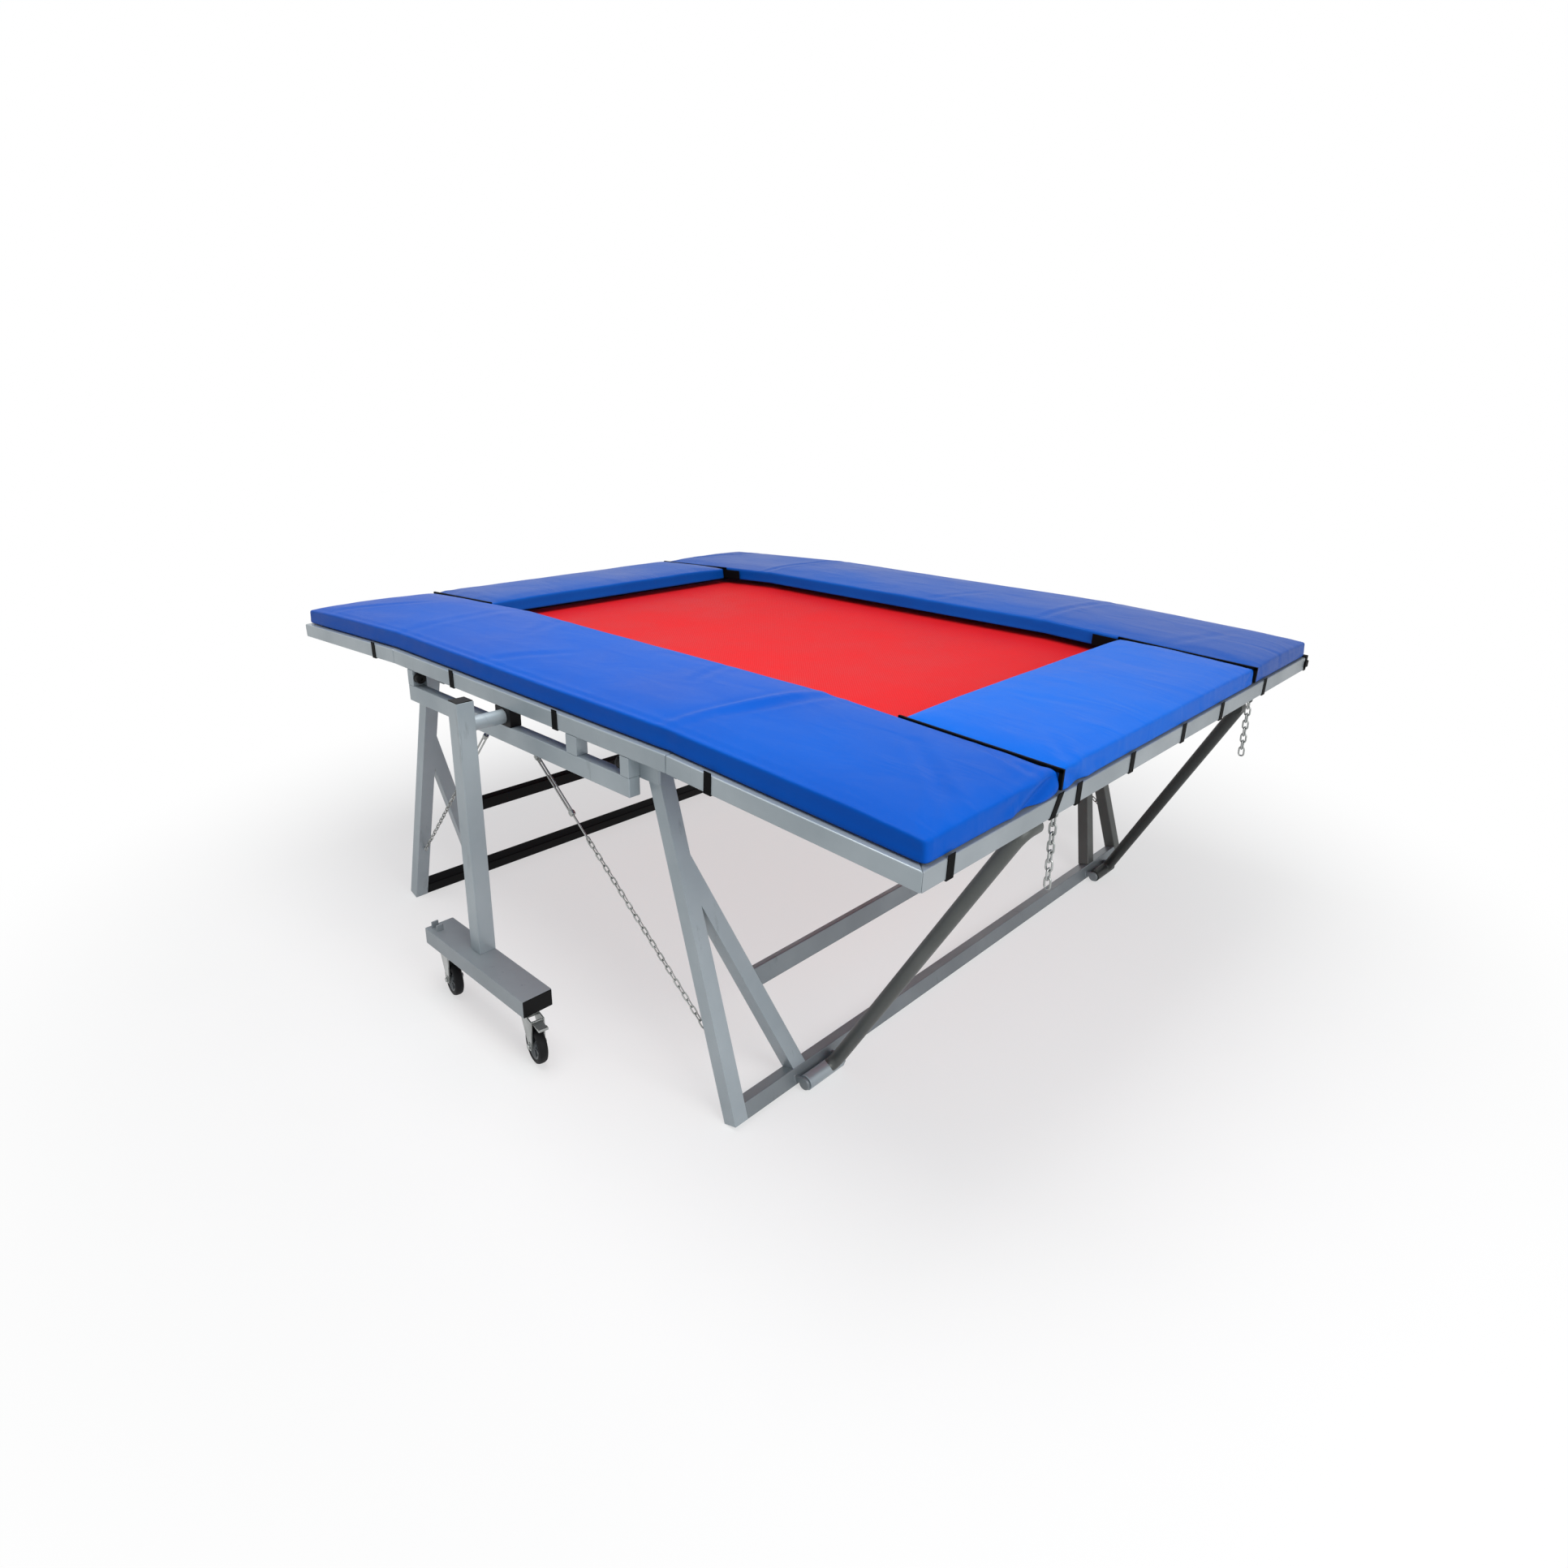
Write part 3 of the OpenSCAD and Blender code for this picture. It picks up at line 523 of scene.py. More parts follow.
class Graph:
    """A node tree that is filled node by node."""

    def __init__(self, tree: bpy.types.NodeTree) -> None:
        """Keeps the tree and empties it."""
        self.tree = tree
        tree.nodes.clear()

    def add(self, kind: str, sockets: dict | None = None, **props: object) -> bpy.types.Node:
        """Adds a node, sets its properties and fills or links its inputs.

        Args:
            kind: node type without the ShaderNode prefix.
            sockets: input name or index to a value or an output socket.
            props: node properties.

        Returns:
            The new node.
        """
        full = kind if kind.startswith("NodeGroup") else "ShaderNode" + kind
        node = self.tree.nodes.new(full)
        for key, value in props.items():
            setattr(node, key, value)
        for key, value in (sockets or {}).items():
            socket = node.inputs[key]
            if isinstance(value, Socket):
                self.tree.links.new(value, socket)
            else:
                socket.default_value = value
        return node

    def math(self, operation: str, *values: object) -> Socket:
        """The result of a maths node on one or two values."""
        return self.add("Math", dict(enumerate(values)), operation=operation).outputs[0]

    def mix(self, factor: object, first: object, second: object, **props: object) -> Socket:
        """The blend of two colours by a factor."""
        return self.add("Mix", {"Factor": factor, 6: first, 7: second}, data_type="RGBA", **props).outputs[2]

    def remap(self, value: Socket, source: Pair, target: Pair = (0.0, 1.0), **props: object) -> Socket:
        """Carries a value from one range to another.

        Args:
            value: the value's socket.
            source: range it comes in.
            target: range it goes out in.
            props: node properties.

        Returns:
            The result's socket.
        """
        ends = {"From Min": source[0], "From Max": source[1], "To Min": target[0], "To Max": target[1]}
        return self.add("MapRange", {"Value": value, **ends}, **props).outputs["Result"]

    def seen(self) -> Socket:
        """1 for rays from the camera, also mirrored or refracted ones, and 0 for all others."""
        path = self.add("LightPath").outputs
        direct = self.math("MAXIMUM", path["Is Camera Ray"], path["Is Transmission Ray"])
        return self.math("MAXIMUM", direct, path["Is Glossy Ray"])


class Effect:
    """Shader node groups that several finishes share, each from a place and a scale to one value."""

    built: ClassVar[dict[str, bpy.types.NodeTree]] = {}

    @classmethod
    def shared(cls, draw: Callable[[Graph, Socket, Socket], Socket]) -> bpy.types.NodeTree:
        """The group that holds an effect's nodes, built on first use.

        Args:
            draw: the method that draws the effect.

        Returns:
            The node group.
        """
        name = draw.__name__
        if name not in cls.built:
            tree = bpy.data.node_groups.new(name, "ShaderNodeTree")
            for row in ("Vector INPUT Vector", "Scale INPUT Float", "Value OUTPUT Float"):
                key, way, kind = row.split()
                tree.interface.new_socket(key, in_out=way, socket_type="NodeSocket" + kind)
            graph = Graph(tree)
            given = graph.add("NodeGroupInput").outputs
            graph.add("NodeGroupOutput", {"Value": draw(graph, given["Vector"], given["Scale"])})
            cls.built[name] = tree
        return cls.built[name]

    @staticmethod
    def clouds(g: Graph, place: Socket, scale: Socket) -> Socket:
        """Broad soft patches from 0 to 1."""
        big = g.add("TexNoise", {"Vector": place, "Scale": scale, "Detail": 4.0, "Roughness": 0.55})
        return g.remap(big.outputs["Fac"], (0.32, 0.68))

    @staticmethod
    def grain(g: Graph, place: Socket, scale: Socket) -> Socket:
        """Fine pebbled height, as on moulded or coated surfaces.

        Args:
            g: the group.
            place: coordinates.
            scale: pebbles to the metre.

        Returns:
            The height.
        """
        cells = g.add("TexVoronoi", {"Vector": place, "Scale": scale}, feature="SMOOTH_F1")
        speck = g.add("TexNoise", {"Vector": place, "Scale": scale, "Detail": 2.0})
        return g.math("ADD", cells.outputs["Distance"], speck.outputs["Fac"])

    @staticmethod
    def weave(g: Graph, place: Socket, scale: Socket) -> Socket:
        """Height of a plain weave: warp and weft bands that pass over each other in turn.

        Args:
            g: the group.
            place: coordinates.
            scale: threads to the metre.

        Returns:
            The height, from 0 to 1.
        """
        spread = g.add("VectorMath", {0: place, "Scale": scale}, operation="SCALE").outputs[0]
        axes = g.add("SeparateXYZ", {0: spread}).outputs
        waves = [g.math("SINE", g.math("MULTIPLY", axes[axis], math.pi)) for axis in (0, 1)]
        bands = {2 + i: g.math("ABSOLUTE", wave) for i, wave in enumerate(waves)}
        over = g.add("TexChecker", {"Vector": spread, "Scale": 1.0})
        return g.add("Mix", {"Factor": over.outputs["Fac"], **bands}, data_type="FLOAT").outputs[0]

    @staticmethod
    def scuffs(g: Graph, place: Socket, scale: Socket) -> Socket:
        """Thin stretched marks, as handling leaves on paint and plastic.

        Args:
            g: the group.
            place: coordinates.
            scale: how close the marks are.

        Returns:
            The mask, from 0 to 1.
        """
        lie = g.add("Mapping", {"Vector": place, "Scale": (1.0, 1.0, 0.12), "Rotation": (0.4, 0.7, 0.2)})
        place = lie.outputs[0]
        lines = g.add("TexNoise", {"Vector": place, "Scale": scale, "Detail": 6.0, "Roughness": 0.7})
        return g.remap(lines.outputs["Fac"], (0.62, 0.72))


class Coat(Graph):
    """A material's graph, with its coordinates and its shader at hand."""

    def __init__(self, made: bpy.types.Material, values: dict[str, float]) -> None:
        """Starts with the object's own coordinates and one shader with these values.

        Args:
            made: the new material.
            values: shader inputs and their values.
        """
        made.use_nodes = True
        super().__init__(made.node_tree)
        self.place: Socket = self.add("TexCoord").outputs["Object"]
        self.shader = self.add("BsdfPrincipled", values)
        self.add("OutputMaterial", {"Surface": self.shader.outputs[0]}, is_active_output=True)

    def feed(self, name: str, value: Socket) -> None:
        """Links a value to the shader."""
        self.tree.links.new(value, self.shader.inputs[name])

    def effect(self, draw: Callable[[Graph, Socket, Socket], Socket], scale: float) -> Socket:
        """The value of a shared effect at its own scale."""
        tree = Effect.shared(draw)
        return self.add("Group", {"Vector": self.place, "Scale": scale}, node_tree=tree).outputs[0]

    def bump(self, height: Socket, distance: float, strength: float) -> None:
        """Lays a height over the shader's normal, on top of any bump that is there.

        Args:
            height: the height.
            distance: how far it rises, in metres.
            strength: how much of it shows.
        """
        sockets = {"Height": height, "Distance": distance, "Strength": strength}
        for link in self.shader.inputs["Normal"].links:
            sockets["Normal"] = link.from_socket
        self.feed("Normal", self.add("Bump", sockets).outputs[0])


@dataclass(frozen=True)
class Finish:
    """Two near tones in soft clouds, with handling marks where it has any, and a fine grain."""

    name: str
    tone: str
    shade: str
    rough: float = 0.45
    rough_spread: float = 0.12
    metallic: float = 0.0
    clouds: float = 3.0
    shine: float = 0.5
    mark: str = ""
    mark_scale: float = 22.0
    mark_weight: float = 0.35
    grain: float = 260.0
    grain_depth: float = 0.0002
    grain_weight: float = 0.35

    def material(self) -> bpy.types.Material:
        """The material, built on first use.

        Returns:
            The material.
        """
        found = bpy.data.materials.get(self.name)
        if found:
            return found
        made = bpy.data.materials.new(self.name)
        coat = Coat(made, {"Metallic": self.metallic, "Specular IOR Level": self.shine})
        soft = coat.effect(Effect.clouds, self.clouds)
        half = self.rough_spread / 2
        coat.feed("Roughness", coat.remap(soft, (0.0, 1.0), (self.rough - half, self.rough + half)))
        colour = coat.mix(soft, tone(self.tone), tone(self.shade))
        coat.feed("Base Color", colour)
        self.fill(coat, colour)
        return made

    def fill(self, coat: Coat, colour: Socket) -> None:
        """Adds what the finish has on top of its tones.

        Args:
            coat: the material's graph.
            colour: the mixed tones, to be changed further.
        """
        if self.mark:
            weight = coat.math("MULTIPLY", coat.effect(Effect.scuffs, self.mark_scale), self.mark_weight)
            coat.feed("Base Color", coat.mix(weight, colour, tone(self.mark)))
        coat.bump(coat.effect(Effect.grain, self.grain), self.grain_depth, self.grain_weight)


@dataclass(frozen=True)
class Paint(Finish):
    """Sprayed metal paint with a faint orange peel and handling marks."""

    mark: str = "4a5155"


@dataclass(frozen=True)
class Plating(Finish):
    """Zinc plating with its faint crystals."""

    grain: float = 180.0
    grain_weight: float = 0.3


@dataclass(frozen=True)
class Moulding(Finish):
    """Moulded plastic or rubber with a pebbled skin and pale scuffs."""

    mark: str = "48484a"
    mark_scale: float = 40.0
    mark_weight: float = 0.06
    grain: float = 700.0
    grain_depth: float = 0.0003
    grain_weight: float = 0.4


@dataclass(frozen=True)
class CoatedCloth(Finish):
    """Coated cover cloth: smooth colour over a close weave, with soft handling folds."""

    threads: float = 900.0
    grain: float = 650.0
    grain_depth: float = 0.00012
    grain_weight: float = 0.5
    fold_depth: float = 0.016

    def fill(self, coat: Coat, colour: Socket) -> None:
        """Adds soft folds, and over them the cloth's fine weave and grain, to the normal.

        Args:
            coat: the material's graph.
            colour: the mixed tones, which stay.
        """
        lie = coat.add("Mapping", {"Vector": coat.place, "Scale": (1.0, 2.6, 1.0), "Rotation": (0, 0, 0.5)})
        shape = {"Scale": 3.2, "Detail": 3.0, "Roughness": 0.45, "Distortion": 0.6}
        folds = coat.add("TexNoise", {"Vector": lie.outputs[0], **shape})
        coat.bump(folds.outputs["Fac"], self.fold_depth, 0.5)
        threads, grain = coat.effect(Effect.weave, self.threads), coat.effect(Effect.grain, self.grain)
        coat.bump(coat.math("ADD", threads, grain), self.grain_depth, self.grain_weight)


@dataclass(frozen=True)
class WovenCloth(Finish):
    """Woven bed or webbing, with its threads showing and painted shade between them."""

    threads: float = 240.0
    grain_depth: float = 0.0006
    grain_weight: float = 0.7

    def fill(self, coat: Coat, colour: Socket) -> None:
        """Draws the threads in height, and in colour as painted shade in the low gaps between them.

        Args:
            coat: the material's graph.
            colour: the mixed tones.
        """
        height = coat.effect(Effect.weave, self.threads)
        # Painted shade: the colour darkens where the weave lies low between the threads.
        gaps = coat.remap(height, (0.0, 0.45), (0.62, 1.0))
        coat.feed("Base Color", coat.mix(1.0, colour, gaps, blend_type="MULTIPLY"))
        coat.bump(height, self.grain_depth, self.grain_weight)


SILVER = Paint("silver_paint", "a9b3b8", "98a3a9", rough=0.36, metallic=0.3)
# Silver paint darkened as painted half shade, for the end rails and the stand beams.
HALF_SHADE_SILVER = Paint("mid_silver_paint", "979fa4", "899196", rough=0.4, metallic=0.28)
# Silver paint darkened as painted shade, for the right foot and cross tubes under the bed.
UNDER_BED_SHADE_SILVER = Paint("low_silver_paint", "868e92", "787f83", rough=0.42, metallic=0.25)
# Silver paint darkened as painted deep shade, for the far right leg and the near strut.
SHADOW_SILVER = Paint("dark_silver_paint", "5c5f5d", "4d504e", rough=0.42, metallic=0.25, shine=0.3)
# Silver paint darkened almost to black as painted deep shade, for the far strut and its sleeve.
DEEP_SHADE_STEEL = Paint("dark_steel_paint", "3a3d3c", "2e3130", metallic=0.2, shine=0.2, mark="50524f")
# Near-black paint as painted shade, for the left foot and cross tubes under the bed.
UNDER_BED_SHADE_BLACK = Paint("black_paint", "040405", "08090a", rough=0.42, shine=0.08, mark="141517")
ZINC = Plating("zinc_plate", "b0b3b2", "929694", rough=0.33, metallic=0.85, clouds=14.0)
CHAIN_STEEL = Plating("chain_steel", "b4b7b5", "8f9290", rough=0.36, metallic=0.85, clouds=30.0)
SPRING_STEEL = Plating("spring_steel", "8a8d8c", "6f7271", rough=0.35, metallic=0.85, clouds=20.0)
BLACK_PLASTIC = Moulding("moulded_black", "060607", "0b0b0c", rough=0.5, shine=0.15)
TYRE = Moulding("tyre_rubber", "0d0e10", "17181a", rough=0.62, shine=0.2, grain=500.0)
HUB = Moulding("grey_hub_plastic", "666b6e", "54595c")
NEAR_BLUE = CoatedCloth("blue_cover_cloth", "044fb4", "0857be", rough=0.4, clouds=1.6, shine=0.05)
# The cover cloth lightened as painted light, for the right end pad.
LIT_BLUE = CoatedCloth("light_blue_cover_cloth", "0a60cc", "1068d4", rough=0.4, clouds=1.6, shine=0.05)
# The cover cloth darkened as painted shade, for the far side pads and the left end pad.
SHADED_BLUE = CoatedCloth("deep_blue_cover_cloth", "064ca6", "0a54b0", rough=0.4, clouds=1.6, shine=0.1)
BED_RED = WovenCloth("red_bed_weave", "d2151c", "dd1c22", rough=0.6, shine=0.15, threads=180.0)
BLACK_WEB = WovenCloth(
    "black_webbing", "050606", "0a0b0c", rough=0.6, shine=0.05, threads=600.0, grain_depth=0.0003
)


# ---------------------------------------------------------------- steelwork


@dataclass
class Steelwork:
    """The welded tubes, plates and hinges, each a rounded copy of its CAD node."""

    tube_round: float = 0.004
    plate_round: float = 0.0012
    small_round: float = 0.0008
    strap_round: float = 0.0004
    strap_top: float = 1.092
    strap_reach: float = 0.02
    strap_from: float = 1.5
    shaft_round: float = 0.0035

    def table(self) -> list[tuple[str, Finish, str, float, int]]:
        """Each node with its finish, slot, rounding and bevel segments.

        Returns:
            The rows, in the order of building.
        """
        tube, plate, small = (self.tube_round, 3), (self.plate_round, 2), (self.small_round, 2)
        tubes = ("side_rail", "sub_rail", "arm_right", "arm_left", "leg_left", "stand_post")
        rows: list[tuple[str, Finish, str, float, int]] = []
        for side in Side:
            rows += [(f"{node}_{side.tag}", SILVER, "steel", *tube) for node in tubes]
            # Stand beams: silver darkened as painted half shade.
            rows.append((f"stand_beam_{side.tag}", HALF_SHADE_SILVER, "steel", *tube))
            rows.append((f"pedal_{side.tag}", ZINC, "zinc", *small))
            rows += [(f"fork_{side.tag}_{end.tag}", ZINC, "zinc", *small) for end in End]
        for nodes, finish, slot, rounding in (
            # End rails: silver darkened as painted half shade.
            (("end_rail_right", "end_rail_left"), HALF_SHADE_SILVER, "steel", tube),
            (("leg_right_near",), SILVER, "steel", tube),
            # Right foot and cross tubes: silver darkened as painted shade from the bed above.
            (("foot_tube_right", "cross_tube_right"), UNDER_BED_SHADE_SILVER, "steel", tube),
            # Far right leg: silver darkened as painted deep shade.
            (("leg_right_far",), SHADOW_SILVER, "steel", tube),
            # Left foot and cross tubes: near black as painted shade from the bed above.
            (("foot_tube_left", "cross_tube_left"), UNDER_BED_SHADE_BLACK, "black_metal", tube),
            (("slot_posts", "leg_brackets"), SILVER, "steel", plate),
            (("stand_bearings",), BLACK_PLASTIC, "black_plastic", plate),
            (("fold_leaves", "fittings_right", "fold_tongues_left"), ZINC, "zinc", small),
            (("straps_middle", "straps_right", "straps_left"), BLACK_WEB, "webbing", (self.strap_round, 1)),
        ):
            rows += [(node, finish, slot, *rounding) for node in nodes]
        return rows

    def build(self) -> None:
        """Rounds, dresses and hangs every piece of the steelwork."""
        groups = frame["record"]["behaviour"]["bodies"]
        bodies = {node: body for body, nodes in groups.items() for node in nodes}
        for node, finish, slot, width, segments in self.table():
            piece = Bench.bevel(Bench.node_copy(node, node + ".finished"), width, segments)
            if node == "straps_right":
                Bench.reshape(piece, self.slant, y=-0.7065, shift=-0.034)
            if node == "stand_bearings":
                Bench.reshape(piece, self.ease, reach=0.0252, play=0.00015)
            if node.startswith("stand_post"):
                Bench.reshape(piece, self.trim, radius=0.024, inner=1.2556, outer=1.3)
            hold(piece, bodies[node], finish, slot, [node])

    @staticmethod
    def off_shaft(co: np.ndarray) -> tuple[np.ndarray, np.ndarray]:
        """How far each point lies from the stands' shaft axis, as an offset and as a distance."""
        out = (co - np.array(joint("stand_near_swing")["pos_m"])) * (1, 0, 1)
        return out, np.linalg.norm(out, axis=1)

    def ease(self, co: np.ndarray, reach: float, play: float) -> np.ndarray:
        """Widens the bores by play, out to reach from their axis, so that the faceted shafts turn freely.

        Args:
            co: vertices of the bearings.
            reach: bore radius that is still widened.
            play: how much wider.

        Returns:
            The changed vertices.
        """
        out, away = self.off_shaft(co)
        bore = away < reach
        co[bore] += out[bore] / away[bore, None] * play
        return co

    def trim(self, co: np.ndarray, radius: float, inner: float, outer: float) -> np.ndarray:
        """Takes the rounding off a stand's shaft between two distances across, where its bearing is.

        Args:
            co: vertices of the post.
            radius: radius of the shaft.
            inner: where the bearing starts.
            outer: where it ends.

        Returns:
            The changed vertices.
        """
        out, away = self.off_shaft(co)
        across = np.abs(co[:, 1])
        thick = (away > radius) & (away < radius + self.shaft_round) & (across > inner) & (across < outer)
        co[thick] -= out[thick] * (1 - radius / away[thick, None])
        return co

    def slant(self, co: np.ndarray, y: float, shift: float) -> np.ndarray:
        """Lets the strap at y on the end rail run down aslant, so that its foot lies shift further.

        Args:
            co: vertices of the straps.
            y: place of the strap across the frame.
            shift: how far its foot moves across.

        Returns:
            The changed vertices.
        """
        drop = np.clip((self.strap_top - co[:, 2]) / PLAN.rail_h, 0, 1)
        here = (abs(co[:, 1] - y) < self.strap_reach) & (co[:, 0] > self.strap_from)
        co[here, 1] += shift * drop[here]
        return co


# ---------------------------------------------------------------- padding


@dataclass(frozen=True)
class Crease:
    """A crease in a pad's cover, from one point to another on its skin, drawn flat."""

    start: Point
    end: Point
    depth: float
    width: float


@dataclass
class PadMaker:
    """Sews and fills the foam pads, all in one cloth run."""

    cell: float = 0.024
    corner: float = 0.014
    edge: float = 0.008
    cap: float = 0.006
    rim: float = 0.0065
    rim_run: float = 0.02
    rim_high: float = 0.03
    frames: int = 14
    crown: ClassVar[float] = 0.008
    crown_run: ClassVar[float] = 0.26
    crown_power: ClassVar[float] = 2.4
    uneven: ClassVar[float] = 0.0022
    wide: ClassVar[Pair] = (2.1, 3.4)
    close: ClassVar[Pair] = (7.0, 9.0)
    close_share: ClassVar[float] = 0.45
    lip: ClassVar[float] = 0.45
    lip_away: ClassVar[float] = 1.8
    fold_run: ClassVar[float] = 0.02
    cover: ClassVar[dict[str, object]] = {
        "vertex_group_mass": "base",
        "use_pressure": True,
        "uniform_pressure_force": 1.6,
        "tension_stiffness": 30,
        "compression_stiffness": 18,
        "shear_stiffness": 12,
        "bending_stiffness": 1.2,
        "quality": 4,
    }
    pads: list[Obj] = field(default_factory=list)

    def blank(self, name: str, low: Point, high: Point) -> Obj:
        """A rounded foam block, cut into an even grid for the cloth run.

        Args:
            name: name of the blank.
            low: lowest corner, drawn flat.
            high: highest corner, drawn flat.

        Returns:
            The new object, at the origin.
        """
        pad = Bench.name(Bench.cube(low, high), name)
        self.round_edges(pad, lambda d: abs(d.z) > 0.9, self.corner, 2)
        self.round_edges(pad, lambda d: abs(d.z) < 0.5, self.edge, 2)
        for axis in range(3):
            span = high[axis] - low[axis]
            cuts = max(1, round(span / self.cell)) if axis < 2 else 2
            self.cut(pad, axis, span * 0.3, cuts)
        self.pads.append(pad)
        return pad

    @staticmethod
    def round_edges(pad: Obj, wanted: Callable[[Vector], bool], width: float, segments: int) -> None:
        """Bevels the sharp edges whose direction is wanted.

        Args:
            pad: the blank.
            wanted: tells whether a direction is wanted.
            width: bevel width in metres.
            segments: number of bevel segments.
        """
        with Bench.opened(pad) as work:
            edges = []
            for edge in work.edges:
                along = (edge.verts[1].co - edge.verts[0].co).normalized()
                sharp = len(edge.link_faces) == 2 and edge.calc_face_angle(0) > math.radians(50)
                if sharp and wanted(along):
                    edges.append(edge)
            shape = {"segments": segments, "profile": 0.5, "affect": "EDGES", "clamp_overlap": True}
            bmesh.ops.bevel(work, geom=edges, offset=width, **shape)

    @staticmethod
    def cut(pad: Obj, axis: int, shortest: float, cuts: int) -> None:
        """Cuts every long edge along an axis into even parts.

        Args:
            pad: the piece.
            axis: 0, 1 or 2 for X, Y or Z.
            shortest: only longer edges are cut.
            cuts: number of cuts.
        """
        with Bench.opened(pad) as work:
            chosen = [e for e in work.edges if abs((e.verts[1].co - e.verts[0].co)[axis]) > shortest]
            bmesh.ops.subdivide_edges(work, edges=chosen, cuts=cuts, use_grid_fill=True)

    def hang_rim(self, co: np.ndarray, outer: Sequence[tuple[int, float]]) -> np.ndarray:
        """Lets the cover's lower rim hang down to the rail along its outer sides.

        Args:
            co: vertices, drawn flat.
            outer: axis and place of each outer side, the sign giving the way out.

        Returns:
            The changed vertices.
        """
        low = co[:, 2].min()
        near_base = np.clip(1 - (co[:, 2] - low) / self.rim_high, 0, 1)
        share = np.zeros(len(co))
        for axis, place in outer:
            inside = abs(place) - co[:, axis] * math.copysign(1, place)
            share = np.maximum(share, np.clip(1 - inside / self.rim_run, 0, 1))
        out = co.copy()
        out[:, 2] -= self.rim * near_base * share
        return out

    def fill(self) -> None:
        """Blows the covers up a little in one cloth run and caps how far they move."""
        rest: dict[str, np.ndarray] = {}
        for pad in self.pads:
            co = Bench.points(pad)
            rest[pad.name] = co
            low = co[:, 2].min()
            group = pad.vertex_groups.new(name="base")
            group.add([int(i) for i in np.nonzero(co[:, 2] < low + self.rim + 0.004)[0]], 1.0, "REPLACE")
            cloth = pad.modifiers.new("cover", "CLOTH")
            for key, value in self.cover.items():
                setattr(cloth.settings, key, value)
            cloth.settings.effector_weights.gravity = 0
            cloth.collision_settings.use_collision = False
            cloth.collision_settings.use_self_collision = False
            cloth.point_cache.frame_start = 1
            cloth.point_cache.frame_end = self.frames
        scene = bpy.context.scene
        for step in range(1, self.frames + 1):
            scene.frame_set(step)
        for pad in self.pads:
            Bench.apply_all(pad)
            pad.vertex_groups.clear()
            co = Bench.points(pad)
            move = co - rest[pad.name]
            far = np.linalg.norm(move, axis=1, keepdims=True)
            LOG.info("%s swelled up to %.1f mm", pad.name, 1000 * far.max())
            Bench.set_points(pad, rest[pad.name] + move * (self.cap / (far + self.cap)))
        scene.frame_set(1)

    @staticmethod
    def ripple(co: np.ndarray, low: float, high: float, seed: float) -> np.ndarray:
        """Soft unevenness of the foam: none at the base, most on top.

        Args:
            co: vertices, drawn flat.
            low: height of the base.
            high: height of the top.
            seed: place in the noise.

        Returns:
            The changed vertices.
        """
        lift = np.clip((co[:, 2] - low) / (high - low), 0, 1)
        out = co.copy()
        for axis in (0, 1):
            ends = co[:, axis].min(), co[:, axis].max()
            inside = np.minimum(co[:, axis] - ends[0], ends[1] - co[:, axis])
            fall = np.clip(1 - inside / PadMaker.crown_run, 0, 1) ** PadMaker.crown_power
            out[:, 2] -= lift * PadMaker.crown * fall
        (wide_x, wide_y), (close_x, close_y) = PadMaker.wide, PadMaker.close
        for i, (x, y, _) in enumerate(co):
            wide = noise.noise(Vector((x * wide_x + seed, y * wide_y, seed)))
            close = noise.noise(Vector((x * close_x, y * close_y + seed, 3.1)))
            out[i, 2] += lift[i] * PadMaker.uneven * (wide + PadMaker.close_share * close)
        return out

    @staticmethod
    def crease(pad: Obj, creases: Sequence[Crease]) -> None:
        """Presses creases into a pad along its own normals, and lifts a soft lip beside each.

        Args:
            pad: the pad, drawn flat.
            creases: the creases, one after another.
        """
        co = Bench.points(pad)
        move = np.zeros(len(co))
        for crease in creases:
            a, b = np.array(crease.start), np.array(crease.end)
            along = b - a
            t = np.clip(((co - a) @ along) / (along @ along), 0, 1)
            away = np.linalg.norm(co - (a + t[:, None] * along), axis=1) / crease.width
            fade = np.sin(np.pi * np.clip(t, 0.03, 0.97)) ** 0.5
            lip = PadMaker.lip * np.exp(-((away - PadMaker.lip_away) ** 2))
            shape = np.exp(-(away**2)) - lip
            move += crease.depth * fade * shape
        Bench.set_points(pad, co - Bench.points(pad, "normal") * move[:, None])

    @staticmethod
    def droop(co: np.ndarray) -> np.ndarray:
        """Turns what lies beyond a fold line down with the drooping end.

        Args:
            co: vertices, drawn flat.

        Returns:
            The changed vertices.
        """
        out = co.copy()
        for side in (-1, 1):
            run = side * co[:, 0] - PLAN.fold_x
            turn = np.clip((run + PadMaker.fold_run) / (2 * PadMaker.fold_run), 0, 1) * PLAN.droop
            rise = co[:, 2] - PLAN.rail_top
            here = run > -PadMaker.fold_run
            x = PLAN.fold_x + run * np.cos(turn) + rise * np.sin(turn)
            z = PLAN.rail_top - run * np.sin(turn) + rise * np.cos(turn)
            out[here, 0] = side * x[here]
            out[here, 2] = z[here]
        return out

    @staticmethod
    def refine(pad: Obj) -> Obj:
        """Subdivides the pad once more and shades it smooth.

        Args:
            pad: the pad.

        Returns:
            The same pad.
        """
        rounder = pad.modifiers.new("rounder", "SUBSURF")
        rounder.levels = 1
        rounder.render_levels = 1
        Bench.apply_all(pad)
        bpy.ops.object.shade_smooth()
        return pad


